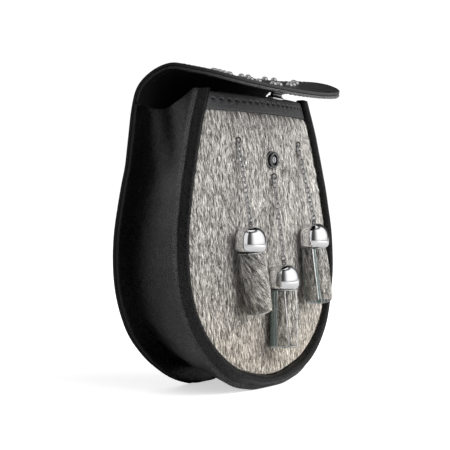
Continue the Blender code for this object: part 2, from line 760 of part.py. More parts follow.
def strap_loop(mat):
    """Plain leather loop on the back for the belt strap."""
    count = len(STRAP_RUN["x"])
    y = BACK_FACE_Y + GAP + STRAP_RUN["off"]
    inner = np.zeros((count, 2, 3))
    outer = np.zeros_like(inner)
    for j, z in enumerate((STRAP_FOOT_Z, STRAP_TOP_Z)):
        height = np.full(count, z)
        inner[:, j] = np.stack([STRAP_RUN["x"], y, height], axis=1)
        outer[:, j] = np.stack([STRAP_RUN["x"] + STRAP_RUN["shift"], y + STRAP_LEATHER, height], axis=1)
    return plate("strap_loop", outer, inner, mat)


def build():
    for existing in list(bpy.data.objects):
        bpy.data.objects.remove(existing, do_unlink=True)

    black = material("black_leather", (0.018, 0.018, 0.02), 0.42)
    inside = material("lining_leather", (0.012, 0.012, 0.013), 0.6)
    fur = material("grey_fur", (0.46, 0.44, 0.42), 0.9)
    nickel = material("nickel", (0.55, 0.55, 0.56), 0.22, 1.0)
    chrome = material("chrome", (0.72, 0.72, 0.73), 0.08, 1.0)
    strips = material("tassel_hide", (0.30, 0.29, 0.28), 0.85)

    back_and_flap(black)
    flap_lining(inside)
    gusset(black)
    fur_front(fur)
    mouth_binding(black)
    snap_stud(nickel)
    snap_socket(nickel)
    flap_studs(chrome)
    strap_loop(black)
    hangers(nickel, chrome, strips)


build()
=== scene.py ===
"""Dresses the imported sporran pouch: leather, fur, stitches, chains, bells and tassels around its frame.

Lengths are millimetres in a measuring frame (X across, -Y the fur front, Z up) whose floor lies at FLOOR_Z and whose
depth ORIGIN_Y is the middle of the object. Meshes are made in metres in the frame's own axes.
"""
import math

import bpy
import numpy as np
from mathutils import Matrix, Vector


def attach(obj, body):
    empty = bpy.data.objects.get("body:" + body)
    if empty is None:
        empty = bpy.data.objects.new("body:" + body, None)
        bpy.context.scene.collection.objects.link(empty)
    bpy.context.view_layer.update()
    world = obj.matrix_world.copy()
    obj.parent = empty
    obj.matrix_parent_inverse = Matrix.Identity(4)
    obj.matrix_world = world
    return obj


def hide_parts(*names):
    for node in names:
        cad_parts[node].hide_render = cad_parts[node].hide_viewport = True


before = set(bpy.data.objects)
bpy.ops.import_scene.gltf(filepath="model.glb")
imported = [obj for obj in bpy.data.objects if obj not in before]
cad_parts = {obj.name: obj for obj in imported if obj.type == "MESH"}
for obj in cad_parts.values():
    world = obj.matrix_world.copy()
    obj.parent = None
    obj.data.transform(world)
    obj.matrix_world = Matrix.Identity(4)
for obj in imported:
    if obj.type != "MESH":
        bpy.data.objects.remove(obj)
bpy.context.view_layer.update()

MM = 0.001
ORIGIN_Y = 8.27
FLOOR_Z = 0.6
CENTRE_Z = 85.0
NOISE_CELLS = 256

# The soft gusset where it stands on the floor: how softly it turns up, and how far it is pressed down in all.
PRESS = 0.8
PRESS_SUNK = 0.12

# Thicknesses and gaps. An outline is drawn in by EDGE_ROUND before its cut edge is rounded.
LEATHER = 1.9
BACK_LEATHER = 1.8
LINING_LEATHER = 1.5
LAYER_GAP = 0.3
HIDE = 2.0
MEAN_FUR = 1.0
BINDING = 1.3
EDGE_GAP = 0.55
EDGE_ROUND = 0.4

# The front leans back, and its foot leans forward below FOOT_HEIGHT.
FRONT_LEAN = 0.042
FOOT_FORWARD = 4.2
FOOT_HEIGHT = 62.0
BOW_POWER = 0.8
MOUTH_Z = 178.9

# The gusset's rim, wall with its folds, and flange.
RIM_PART = 0.84     # share of the rim's section that is of the duller leather
RIDGE_OUT = 8.2
RIDGE_DEPTH = 2.9
WALL_TUCK = 0.25
WALL_SAG = 1.6
WALL_SHORT = 0.4
FOLD_FROM_Z = 118.0
FOLD_RISE = 45.0
FOLD_DEPTH = 1.1
FOLD_LENGTH = 7.5
FOLD_SLOPE = 1.6
FLANGE_WIDTH = 11.0
FLANGE_FRONT_Y = 45.3

# The back's panel, and the flap from FLAP_FROM along the leather's middle line, with its round tip. The lining
# starts at LINING_FROM along that line and can be seen from LINING_SEEN on.
BACK_OUTLINE_TOP = 150.0
BACK_FROM_Y = 40.0
FOOT_ROWS_TO = 80.0
FOOT_ROWS_RADIUS = 86.0
FLAP_FROM = 190.0
LINING_FROM = 150.0
LINING_SEEN = 186.0
FLAP_ROUND_Y = 15.5
FLAP_ROUND_LENGTH = 56.0
FLAP_POWER = 2.06
FLAP_SIDE_X = 62.0
LOOP_NEAR_Y = 49.5

SNAP_Z = 140.0
SOCKET_Y = -8.4
CHAIN_LINKS = 16
LINK_LENGTH = 4.75
LINK_WIDTH = 3.3
LINK_WIRE = 0.9
RING_RADIUS = 1.6
RING_WIRE = 0.5
RING_SUNK = 0.3

STUD_PAIRS = 9
STUD_SPACING = 6.5
STUD_PHASE = 0.62
STUD_OVAL_X = 40.0
STUD_OVAL_Y = 17.0
STUD_OVAL_CENTRE_Y = 8.0

# Stitches along the binding, by x, and round the outer leather.
STITCH_Z = 174.4
BINDING_STITCHES = np.arange(-57.5, 58.0, 6.4)
STITCH_INSET = 4.6
STITCH_PITCH = 3.5
STITCH_LENGTH = 2.7

# The fur's small locks, the heights between which it grows, and the bare hide round the stud.
LOCK_WIDTH = 0.55
LOCK_LENGTH = 4.6
FUR_FOOT_Z = 8.5
FUR_TOP_Z = 168.3
FUR_REACH_X = 83.0
SNAP_ROOM = 5.2

# Tassels: the room that the hair takes over its hide of thickness PELT, and how many hairs of what length.
HAIR_ROOM = 0.6
PELT = 0.7
TASSEL_RADIUS = 8.6
TASSEL_LENGTH = 36.0
TASSEL_HAIRS = 10.5     # to a square millimetre
TASSEL_HAIR_LENGTH = 4.4
SWAY_POWER = 1.15


def table(names, *rows):
    return {name: np.array([row[i] for row in rows], float) for i, name in enumerate(names.split())}


# Radii of the fur's edge and of the back's outline about (0, CENTRE_Z), by angle from straight down.
OUTLINE = table(
    "angle front back",
    (0, 76.5, 85.6), (15, 76.6, 85.0), (30, 78.9, 85.4), (45, 81.3, 87.5), (60, 83.2, 90.2), (75, 83.1, 90.8),
    (90, 82.1, 90.0), (105, 82.2, 89.4), (120, 85.5, 92.0), (131, 91.0, 100.0), (138.4, 97.0, 109.6),
    (145, 103.2, 119.0), (150, 109.1, 124.0), (160, 121.3, 133.0))

# The rolled rim's outer face: out from the fur's edge, and depth behind the front plane.
RIM = table("out depth", (0.0, 2.4), (0.05, -1.0), (0.5, -3.0), (1.7, -4.0), (3.2, -3.9), (4.5, -1.4), (5.7, 1.5),
            (RIDGE_OUT, RIDGE_DEPTH))

# How much wider the rim is, as a share, by angle from straight down.
RIM_WIDER = table("angle share", (0, 0.08), (15, 0.19), (30, 0.30), (45, 0.15), (60, 0.0), (160, 0.0))

# The gusset's top edge, by depth, and the bow of the fur front at its middle, by height.
GUSSET_TOP = table("y z", (-10, 180.4), (11, 180.4), (12.5, 179.8), (19, 175.8), (24, 172.3), (29, 169.8), (33, 169.0),
                   (41, 169.6), (45, 171.5), (47.1, 173.5), (50, 174.5))
BOW = table("z bow", (8, 0.0), (20, 1.0), (40, 5.0), (70, 7.6), (100, 8.8), (140, 9.7), (168, 8.9), (178, 8.7))

# The binding's outer face over the top edge: depth behind the fur's tips, and height.
BINDING_SECTION = table(
    "depth z", (0.0, 168.0), (0.0, 173.0), (0.1, 177.6), (0.9, MOUTH_Z), (MEAN_FUR + HIDE + 0.7, MOUTH_Z),
    (MEAN_FUR + HIDE + 1.6, 177.6), (MEAN_FUR + HIDE + 1.6, 171.0))

# Middle line of the outer leather from the foot of the back over the bend to the flap's tip: half-width, how
# far the sides curl up and how far the sheet rolls to one side.
SHEET = table(
    "y z half curl roll",
    (49.2, 0.0, 12.0, 0.0, 0.0), (49.2, 40.0, 78.3, 0.0, 0.0), (49.2, 80.0, 90.2, 0.0, 0.0),
    (49.2, 120.0, 83.1, 0.0, 0.0), (49.2, 150.0, 75.7, 0.0, 0.0), (49.2, 167.0, 72.7, 0.0, 0.0),
    (48.9, 174.5, 70.4, 0.3, 0.0), (47.4, 180.3, 69.0, 0.8, 0.0), (45.0, 184.2, 67.5, 1.1, -0.2),
    (41.0, 188.0, 65.5, 1.4, -0.5), (35.5, 191.5, 63.6, 1.4, -0.8), (27.0, 193.6, 62.6, 1.4, -0.87),
    (15.0, 191.4, 62.5, 2.3, 0.0), (0.0, 187.7, 62.5, 3.9, 1.1), (-15.0, 184.2, 62.5, 4.4, 1.9),
    (-30.0, 181.3, 62.5, 4.3, 2.3), (-41.0, 179.3, 62.5, 4.3, 2.6))

# The bell's skin: a tall half-round dome over its widest place, and a rounded lip under it.
BELL_RADIUS = 9.5
BELL_WIDEST = 3.6
BELL_TOP = 15.1
BELL_SEAT = 14.5
BELL_POWER = 2.6
BELL_LIP = table("r h", (5.6, 0.7), (6.7, 0.05), (7.7, 0.0), (8.7, 0.75), (9.3, 1.9), (9.5, BELL_WIDEST))

# Lathe profiles by radius and height.
SNAP_STUD = table(
    "r h", (0.0, 1.0), (1.1, 1.0), (1.25, 1.2), (1.25, 2.5), (1.45, 2.75), (1.75, 2.75), (1.95, 2.5), (2.05, 1.5),
    (3.0, 1.4), (3.15, 2.9), (3.5, 3.4), (4.3, 3.5), (4.9, 3.1), (5.0, 2.6), (4.6, 2.2), (3.7, 2.0), (3.6, 1.5),
    (4.6, 1.1), (5.3, 0.6), (5.4, 0.1), (5.3, 0.0))
SNAP_SOCKET = table(
    "r h", (0.0, 2.6), (2.3, 2.6), (2.7, 4.6), (3.1, 5.05), (4.2, 5.1), (4.8, 4.8), (4.9, 4.2), (4.5, 3.7),
    (3.6, 3.3), (3.5, 2.0), (4.4, 1.6), (5.0, 1.2), (5.15, 0.7), (5.1, 0.0))
STUD_DOME = table("r h", (0.0, 1.85), (0.7, 1.8), (1.35, 1.5), (1.85, 0.95), (2.1, 0.35), (2.25, 0.15), (2.3, -0.1),
                  (2.2, -0.3))

HANGER_SIDES = ("left", "middle", "right")
HANGERS = table(
    "x ring_y ring_z bell_x bell_y foot_z top_z sway_x sway_y flare swirl slant",
    (-35.4, -2.1, 149.0, -38.0, -12.4, 85.0, 84.6, 7.0, -2.0, -0.18, 33.0, 1.0),
    (0.0, -5.6, 128.3, -1.8, -13.7, 61.5, 61.1, 0.5, 0.0, 0.03, 7.0, 2.6),
    (35.4, -2.1, 149.0, 38.0, -12.4, 85.7, 85.3, 3.0, -2.4, 0.0, 12.0, 4.4))
TASSEL_FORM = table("drop scale", (-1.0, 0.90), (0.6, 0.93), (6.0, 0.97), (18.0, 1.00), (36.0, 1.00))

# Strips of a tassel by their first seam: its place at the top and at the foot in degrees to the right of the side
# seen in front, how wide it gapes, and what the strip after it shows: 0 hair, 1 its flesh side, 2 its pale cut edge,
# made brighter than the hide's other cut edges as a painted highlight.
STRIPS = {
    "left": table("top foot gap shows", (-62, -52, 0.5, 0), (96, 92, 0.3, 0), (150, 150, 0.3, 0), (205, 205, 0.3, 0)),
    "middle": table("top foot gap shows", (-92, -92, 0.4, 1), (-47, -46, 0.5, 1), (-33, -33, 0.5, 0),
                    (-1, 15, 0.1, 2), (3, 19, 0.3, 0), (61, 65, 0.1, 2), (64, 68, 0.3, 0), (120, 120, 0.3, 0),
                    (190, 190, 0.3, 0)),
    "right": table("top foot gap shows", (-98, -98, 0.4, 1), (-70, -64, 0.4, 0), (-12, -7, 0.1, 2), (-8, -3, 0.1, 1),
                   (3, 8, 0.6, 0), (66, 66, 0.3, 0), (120, 120, 0.3, 0), (190, 190, 0.3, 0)),
}

# Light of the studio's walls by azimuth (0 is straight before the fur, negative to its left) and by elevation.
WALLS = table(
    "azimuth light",
    (-180, 0.90), (-168, 0.72), (-156, 0.60), (-142, 0.60), (-120, 0.66), (-106, 0.84), (-84, 0.85), (-80, 0.14),
    (-75, 0.05), (-62, 0.07), (-54, 0.20), (-46, 0.50), (-38, 0.90), (-30, 1.15), (-8, 1.25), (26, 1.2), (48, 1.05),
    (60, 0.90), (67, 0.40), (74, 0.06), (118, 0.05), (135, 0.80), (150, 1.25), (168, 1.20), (180, 0.90))
HEIGHTS = table("elevation share", (-90, 0.0), (-20, 0.2), (-2, 0.8), (6, 1.0), (50, 1.0), (60, 0.08), (90, 0.05))
TOP_LIGHT = 1.1
TOP_ELEVATION = 70.0
TOP_SOFT = 8.0
BACKDROP = 1.05

# A wide soft lamp before the fur, and the floor's whiteness to the eye and to the object.
LAMP_AT = (0.45, -1.80, 0.80)
LAMP_SIZE = (3.0, 1.6)
LAMP_POWER = 66.0
FLOOR_SEEN = 0.9
FLOOR_GLOW = 0.57
FLOOR_BOUNCE = 0.66

# The camera in metres, its lens and the width of its sensor, and the azimuth of the side that it sees.
CAMERA_AT = (-0.68217, -0.42108, 0.11208)
CAMERA_AHEAD = (0.83857, 0.54457, -0.01575)
CAMERA_LENS = (103.806, 36.0)
SEEN_FROM = math.degrees(math.atan2(-0.5446, -0.8386))


# ---- the object's surfaces ----------------------------------------------------------------------------------

def circle(count):
    """Angles evenly round a whole turn."""
    return np.linspace(0, 2 * math.pi, count, endpoint=False)


def ease(t):
    """Goes softly from 0 to 1 as t does."""
    return t * t * (3 - 2 * t)


def run_along(*columns):
    """How far each point of a line is along it, from the columns of its coordinates."""
    return np.concatenate([[0.0], np.cumsum(np.hypot(*(np.diff(column) for column in columns)))])


def value_at(tab, key, name, at):
    """Smooth value of one column against another, with no overshoot between the rows."""
    xs, ys = tab[key], tab[name]
    step = np.diff(xs)
    slope = np.diff(ys) / step
    both, total = slope[:-1] * slope[1:], slope[:-1] + slope[1:]
    inner = np.where(both > 0, 2 * both / np.where(both > 0, total, 1.0), 0.0)
    tangent = np.concatenate([slope[:1], inner, slope[-1:]])
    at = np.clip(np.asarray(at, float), xs[0], xs[-1])
    i = np.clip(np.searchsorted(xs, at, side="right") - 1, 0, len(step) - 1)
    t = (at - xs[i]) / step[i]
    leave, arrive = t * (1 - t) ** 2, t * t * (t - 1)
    return (1 + 2 * t) * (1 - t) ** 2 * ys[i] + leave * step[i] * tangent[i] \
        + ease(t) * ys[i + 1] + arrive * step[i] * tangent[i + 1]


def smoothed(values, reach):
    """Values averaged with their neighbours, keeping the slope at both ends."""
    pad = 2 * reach
    kernel = np.exp(-0.5 * (np.arange(-pad, pad + 1) / reach) ** 2)
    before = 2 * values[0] - values[pad:0:-1]
    after = 2 * values[-1] - values[-2:-pad - 2:-1]
    return np.convolve(np.concatenate([before, values, after]), kernel / kernel.sum(), "valid")


def unit(v):
    return v / np.maximum(np.linalg.norm(v, axis=-1, keepdims=True), 1e-9)


def smooth_line(tab, first, second, count, reach):
    """A line through two columns of a table, smoothed: places along it, and both columns there."""
    knots = dict(tab, s=run_along(tab[first], tab[second]))
    s = np.linspace(0.0, knots["s"][-1], count)
    return s, *(smoothed(value_at(knots, "s", name, s), reach) for name in (first, second))


def noise(seed, x, y):
    """Smooth random values from 0 to 1 over a plane, with a grain of one unit."""
    grid = np.random.default_rng(seed).random((NOISE_CELLS, NOISE_CELLS))
    xi, yi = np.floor(x).astype(int), np.floor(y).astype(int)
    fx, fy = ease(x - xi), ease(y - yi)
    x0, x1, y0, y1 = (cell % NOISE_CELLS for cell in (xi, xi + 1, yi, yi + 1))
    low = grid[x0, y0] * (1 - fx) + grid[x1, y0] * fx
    high = grid[x0, y1] * (1 - fx) + grid[x1, y1] * fx
    return low * (1 - fy) + high * fy


def sway(seed, x, y, grain_x, grain_y, size):
    """Smooth random values of both signs over a plane, size apart at most, with a grain for each way."""
    return (noise(seed, x / grain_x, y / grain_y) - 0.5) * size


def locks(seed, across, along_hair, width, length):
    """Each hair's small lock: a random value from 0 to 1, and how far the hair is from the lock's middle (-1 to 1)."""
    grid = np.random.default_rng(seed).random((NOISE_CELLS, NOISE_CELLS))
    place = across / width + 0.5 * noise(seed + 100, across / 2.0, along_hair / 5.0)
    column = np.floor(place).astype(int)
    row = np.floor(along_hair / length + 5.0 * grid[column % NOISE_CELLS, 0]).astype(int)
    return grid[column % NOISE_CELLS, row % NOISE_CELLS], 2.0 * (place - column) - 1.0


def outline(side, angle):
    """Point (x, z) of the front's or the back's outline at an angle in degrees from straight down."""
    r = value_at(OUTLINE, "angle", side, np.abs(angle))
    a = np.radians(angle)
    return r * np.sin(a), CENTRE_Z - r * np.cos(a)


def outline_normal(side, angle):
    (x0, z0), (x1, z1) = (outline(side, np.asarray(angle) + step) for step in (-0.5, 0.5))
    length = np.hypot(x1 - x0, z1 - z0)
    return (z1 - z0) / length, -(x1 - x0) / length


def beside(side, angle, out):
    """Point (x, z) at an angle that lies out from the front's or the back's outline."""
    (x, z), (normal_x, normal_z) = outline(side, angle), outline_normal(side, angle)
    return x + normal_x * out, z + normal_z * out


def half_width(side, z, inset=0.0):
    """Half-width at a height of the front's or the back's outline, or of that outline drawn in by an inset."""
    x, height = beside(side, np.linspace(0.0, 160.0, 1281), -inset)
    return np.interp(z, height, x)


def front_plane(z):
    """Depth of the plane that the rim and the front panel's edge lie in."""
    low = np.clip(1.0 - np.asarray(z) / FOOT_HEIGHT, 0.0, 1.0)
    return FRONT_LEAN * np.asarray(z) - FOOT_FORWARD * ease(low)


def front_face(x, z):
    """Depth of the bowed front at the tips of its fur."""
    half = np.maximum(half_width("front", z), 1.0)
    across = np.clip(1.0 - (np.asarray(x) / half) ** 2, 0.0, 1.0) ** BOW_POWER
    return front_plane(z) - value_at(BOW, "z", "bow", z) * across


def front_normal(x, z):
    slope_x = front_face(x + 0.5, z) - front_face(x - 0.5, z)
    slope_z = front_face(x, z + 0.5) - front_face(x, z - 0.5)
    return unit(np.stack([slope_x, -np.ones_like(slope_x), slope_z], axis=-1))


def on_back(y, z):
    """Whether a place on the outer leather belongs to the back's panel."""
    return (z < BACK_OUTLINE_TOP) & (y > BACK_FROM_Y)


def sheet_line():
    """Middle line of the outer leather every half millimetre, smoothed."""
    knots = dict(SHEET, s=run_along(SHEET["y"], SHEET["z"]))
    s = np.arange(0.0, knots["s"][-1] + 0.01, 0.5)
    line = {name: smoothed(value_at(knots, "s", name, s), 5) for name in ("y", "z", "half", "curl", "roll")}
    out_y, out_z = np.gradient(line["z"]), -np.gradient(line["y"])
    length = np.hypot(out_y, out_z)
    half = np.where(on_back(line["y"], line["z"]), half_width("back", line["z"]), line["half"])
    return dict(line, s=s, out_y=out_y / length, out_z=out_z / length, half=half)


LINE = sheet_line()


def along(name, s):
    return np.interp(s, LINE["s"], LINE[name])


def sheet_edge(s):
    """Half-width of the outer leather at places along its middle line."""
    y, z = along("y", s), along("z", s)
    half = np.where(on_back(y, z), half_width("back", z), along("half", s))
    reach = np.clip((FLAP_ROUND_Y - y) / FLAP_ROUND_LENGTH, 0.0, 1.0)
    return half * (1.0 - reach ** FLAP_POWER) ** (1.0 / FLAP_POWER)


def sheet_point(s, x, depth):
    """Point at a place along and across the outer leather, at a depth under its outer face."""
    s, x = np.broadcast_arrays(np.asarray(s, float), np.asarray(x, float))
    across = x / FLAP_SIDE_X
    lift = along("curl", s) * across ** 2 + along("roll", s) * across - depth
    return np.stack([x, along("y", s) + lift * along("out_y", s), along("z", s) + lift * along("out_z", s)], axis=-1)


def sheet_normal(s, x):
    ds = sheet_point(s + 0.5, x, 0.0) - sheet_point(s - 0.5, x, 0.0)
    dx = sheet_point(s, x + 0.5, 0.0) - sheet_point(s, x - 0.5, 0.0)
    return unit(np.cross(ds, dx))


def place_on_flap(y):
    """Place along the middle line where the flap is at a depth."""
    flap = LINE["s"] > FLAP_FROM
    return np.interp(-np.asarray(y, float), -LINE["y"][flap], LINE["s"][flap])


def round_tip(turns):
    """Places along the middle line round the flap's tip, by angles in degrees."""
    return place_on_flap(FLAP_ROUND_Y - FLAP_ROUND_LENGTH * np.sin(np.radians(turns)))


def pressed(z):
    """Heights with what would lie under the floor pressed on to it, and turning up softly beside it."""
    above = z - FLOOR_Z
    return FLOOR_Z + 0.5 * (above + np.sqrt(above ** 2 + PRESS ** 2)) - PRESS_SUNK


def rim_curve(q):
    """The rim's section at q from 0 at the fur to 1 at the ridge: out and depth."""
    s, out, depth = smooth_line(RIM, "out", "depth", 201, 6)
    return np.interp(q, s / s[-1], out), np.interp(q, s / s[-1], depth)


def gusset_point(q, angle):
    """Outer face of the gusset: q runs over the rim to 1, the wall to 2 and the flange to 3."""
    widen = 1.0 + value_at(RIM_WIDER, "angle", "share", np.abs(angle))
    if q <= 1.0:
        out, depth = rim_curve(q)
        x, z = beside("front", angle, out * widen)
        return x, front_plane(z) + depth, z
    share = q - 1.0
    if share > 1.0:
        x, z = beside("back", angle, (share - 1.0) * (FLANGE_WIDTH - 0.5) - FLANGE_WIDTH)
        return x, np.full(np.shape(z), FLANGE_FRONT_Y), z
    ridge_x, ridge_z = beside("front", angle, RIDGE_OUT * widen)
    ridge_y = front_plane(ridge_z) + RIDGE_DEPTH
    (back_x, back_z), (back_nx, back_nz) = outline("back", angle), outline_normal("back", angle)
    inset = FLANGE_WIDTH * ((1.0 - WALL_TUCK) * share + WALL_TUCK * math.sin(math.pi * share / 2))
    x = ridge_x + (back_x - ridge_x) * share - back_nx * inset
    z = ridge_z + (back_z - ridge_z) * share - back_nz * inset
    y = ridge_y + (FLANGE_FRONT_Y - WALL_SHORT - ridge_y) * share
    high = np.clip((z - FOLD_FROM_Z) / FOLD_RISE, 0.0, 1.0) * math.sin(math.pi * share)
    sunk = high * (WALL_SAG + FOLD_DEPTH * np.sin((z - FOLD_SLOPE * y) / FOLD_LENGTH))
    return x - back_nx * sunk, y, z - back_nz * sunk


# ---- mesh building ------------------------------------------------------------------------------------------

def quads(rows, columns, close_rows=False, close_columns=False):
    """The four corners of each face in a grid of points, row by row."""
    i = np.arange(rows if close_rows else rows - 1)[:, None]
    j = np.arange(columns if close_columns else columns - 1)[None, :]
    low, high, right = i * columns, (i + 1) % rows * columns, (j + 1) % columns
    return np.stack([low + j, low + right, high + right, high + j], axis=-1).reshape(-1, 4)


class Shape:
    """Points and faces gathered for one piece, each face with the number of its material."""

    def __init__(self):
        self.points, self.faces, self.slots = [], [], []

    def add(self, points, faces, slots):
        self.faces.append(faces + sum(len(some) for some in self.points))
        self.points.append(points)
        self.slots.append(np.broadcast_to(slots, len(faces)))
        return self

    def grid(self, grid, slot=0, close_rows=False, close_columns=False):
        return self.add(grid.reshape(-1, 3), quads(*grid.shape[:2], close_rows, close_columns), slot)

    def sheet(self, outer, inner, edge=0.45, slots=(0, 1, 2), rings=5, ragged=0.0):
        """A closed sheet between two grids, its cut edge rounded, standing out by edge and more or less ragged."""
        rows, columns = outer.shape[:2]
        ring = [(0, j) for j in range(columns)] + [(i, columns - 1) for i in range(1, rows)]
        ring += [(rows - 1, j) for j in range(columns - 2, -1, -1)] + [(i, 0) for i in range(rows - 2, 0, -1)]
        i, j = np.array(ring).T
        top, bottom = outer[i, j], inner[i, j]
        inside = outer[np.clip(i, 1, rows - 2), np.clip(j, 1, columns - 2)]
        tangent = unit(np.roll(top, -1, axis=0) - np.roll(top, 1, axis=0))
        away = unit(np.cross(tangent, unit(top - bottom)))
        if np.sum(away * (top - inside)) < 0:
            away = -away
        count, area = len(ring), rows * columns
        rough = 1.0 + ragged * np.random.default_rng(count).uniform(-1.0, 0.6, (rings, count, 1))
        turn = math.pi * np.arange(1, rings + 1)[:, None, None] / (rings + 1)
        round_edge = top + (bottom - top) * (1 - np.cos(turn)) / 2 + away * edge * np.sin(turn) ** 0.6 * rough
        loops = np.concatenate([i * columns + j, 2 * area + np.arange(rings * count), area + i * columns + j])
        face = quads(rows, columns)
        faces = np.stack([face, area + face[:, [0, 3, 2, 1]]], axis=1).reshape(-1, 4)
        kinds = np.stack([np.broadcast_to(slots[k], len(face)) for k in (0, 2)], axis=1).ravel()
        side = loops[quads(rings + 2, count, close_columns=True)[:, [1, 0, 3, 2]]]
        return self.add(np.concatenate([part.reshape(-1, 3) for part in (outer, inner, round_edge)]),
                        np.concatenate([faces, side]), np.concatenate([kinds, np.full(len(side), slots[1])]))

    def lathe(self, profile, centre, axis, segments, slot=0, steps=3):
        """A turned skin from a profile of r and h, smoothed between its rows."""
        reach = run_along(profile["r"], profile["h"])
        knots = dict(profile, s=reach)
        at = np.interp(np.arange((len(reach) - 1) * steps + 1) / steps, np.arange(len(reach)), reach)
        r, h = (value_at(knots, "s", name, at)[:, None, None] for name in ("r", "h"))
        axis = unit(np.array(axis, float))
        side = unit(np.cross(axis, (0.0, 0.0, 1.0)) if abs(axis[2]) < 0.9 else np.array((1.0, 0.0, 0.0)))
        turn = circle(segments)[:, None]
        ring = side * np.cos(turn) + np.cross(axis, side) * np.sin(turn)
        return self.grid(np.array(centre) + axis * h + ring * np.maximum(r, 0.004), slot, close_columns=True)

    def loop(self, path, wire, sides, slot=0):
        """A closed wire that follows a flat closed path."""
        tangent = unit(np.roll(path, -1, axis=0) - np.roll(path, 1, axis=0))
        plane = unit(np.cross(path[1] - path[0], path[2] - path[1]))
        inward = unit(np.cross(plane, tangent))[:, None]
        turn = circle(sides)[:, None]
        return self.grid(path[:, None] + wire * (inward * np.cos(turn) + plane * np.sin(turn)), slot, True, True)

    def stitch(self, start, end, up, radius, rise):
        """One thread stitch that comes up, lies along the leather and goes down again."""
        start, way = np.asarray(start), np.subtract(end, start)
        turn = circle(6)[:, None]
        ring = np.cross(unit(way), up) * np.cos(turn) + up * np.sin(turn)
        form = ((0.0, -0.9, 0.5), (0.06, -0.1, 0.85), (0.25, rise, 1.0), (0.5, rise * 1.3, 1.05), (0.75, rise, 1.0),
                (0.94, -0.1, 0.85), (1.0, -0.9, 0.5))
        return self.grid(np.array([start + way * share + up * high + radius * size * ring
                                   for share, high, size in form]), close_columns=True)

    def build(self, name, mats, slot, *replaced, sharp=None):
        """Makes the mesh, with nothing under the floor, and puts it in the scene."""
        points = np.concatenate(self.points)
        points[:, 2] = np.maximum(points[:, 2], FLOOR_Z)
        mesh = bpy.data.meshes.new(name)
        mesh.from_pydata(to_frame(points).tolist(), [], np.concatenate(self.faces).tolist())
        for mat in mats:
            mesh.materials.append(mat)
        slots = np.minimum(np.concatenate(self.slots), len(mats) - 1)
        mesh.polygons.foreach_set("material_index", slots.astype(np.int32))
        mesh.shade_smooth()
        if sharp is not None:
            mesh.set_sharp_from_angle(angle=math.radians(sharp))
        piece(name, mesh, slot, *replaced)


def to_frame(points):
    return (points - np.array((0.0, ORIGIN_Y, FLOOR_Z))) * MM


def in_scene(name, data):
    made = bpy.data.objects.new(name, data)
    bpy.context.scene.collection.objects.link(made)
    return made


def piece(name, mesh, slot, *replaced):
    """Puts a finished mesh in the scene as a piece of the pouch."""
    made = in_scene(name, mesh)
    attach(made, "root")
    if replaced:
        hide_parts(*replaced)


def hair_piece(name, mat, slot, *, root, normal, ahead, length, width, lift, turn, shade):
    """One mesh of flat, pointed hairs of two faces each, with their shade and the place along them."""
    count = len(root)
    length, width, lift, turn = (values[:, None] for values in (length, width, lift, turn))
    side = (unit(np.cross(ahead, normal)) * np.cos(turn) + normal * np.sin(turn)) * width
    middle = root + length * 0.5 * (ahead * np.cos(lift) + normal * np.sin(lift))
    tip = middle + length * 0.5 * (ahead * np.cos(lift * 0.25) + normal * np.sin(lift * 0.25))
    points = np.stack([root - side / 2, root + side / 2, middle + side * 0.46, middle - side * 0.46, tip], axis=1)
    number = np.arange(count, dtype=np.int32)[:, None]
    corners = number * 5 + np.array((0, 1, 2, 3, 3, 2, 4), np.int32)
    mesh = bpy.data.meshes.new(name)
    mesh.vertices.add(count * 5)
    mesh.vertices.foreach_set("co", to_frame(points).astype(np.float32).ravel())
    mesh.loops.add(count * 7)
    mesh.loops.foreach_set("vertex_index", corners.ravel())
    mesh.polygons.add(count * 2)
    mesh.polygons.foreach_set("loop_start", (number * 7 + np.array((0, 4), np.int32)).ravel())
    mesh.update(calc_edges=True)
    mesh.shade_smooth()
    for key, values in (("shade", np.repeat(shade, 5)), ("along", np.tile((0.0, 0.0, 0.5, 0.5, 1.0), count))):
        mesh.attributes.new(key, "FLOAT", "POINT").data.foreach_set("value", values.astype(np.float32))
    cells = math.ceil(math.sqrt(count))
    cell = np.stack([number % cells, number // cells], axis=2)
    inside = np.array(((0.1, 0.1), (0.9, 0.1), (0.9, 0.5), (0.1, 0.5), (0.1, 0.5), (0.9, 0.5), (0.5, 0.9)))
    chart = mesh.uv_layers.new(name="OFBake")
    chart.data.foreach_set("uv", ((cell + inside) / cells).astype(np.float32).ravel())
    mesh.materials.append(mat)
    piece(name, mesh, slot)


# ---- materials ----------------------------------------------------------------------------------------------

class Nodes:
    """A node tree with short ways to add nodes and join them."""

    def __init__(self, tree):
        self.tree = tree

    def add(self, kind, inputs=None, **settings):
        node = self.tree.nodes.new(kind)
        for key, value in settings.items():
            setattr(node, key, value)
        for key, value in (inputs or {}).items():
            if isinstance(value, bpy.types.NodeSocket):
                self.tree.links.new(value, node.inputs[key])
            else:
                node.inputs[key].default_value = value
        return node

    def math(self, operation, a, b=0.0, c=0.0):
        return self.add("ShaderNodeMath", {0: a, 1: b, 2: c}, operation=operation).outputs[0]

    def blend(self, a, share_a, b, share_b):
        return self.math("MULTIPLY_ADD", a, share_a, self.math("MULTIPLY", b, share_b))

    def ramp(self, value, *stops):
        node = self.add("ShaderNodeValToRGB", {"Fac": value})
        elements = node.color_ramp.elements
        while len(elements) < len(stops):
            elements.new(0.5)
        for element, (at, color) in zip(elements, stops):
            element.position = at
            element.color = (*color, 1.0) if isinstance(color, tuple) else (color, color, color, 1.0)
        return node.outputs["Color"]

    def span(self, value, low, high, to_low, to_high, kind="LINEAR"):
        return self.add("ShaderNodeMapRange", {0: value, 1: low, 2: high, 3: to_low, 4: to_high},
                        interpolation_type=kind).outputs[0]


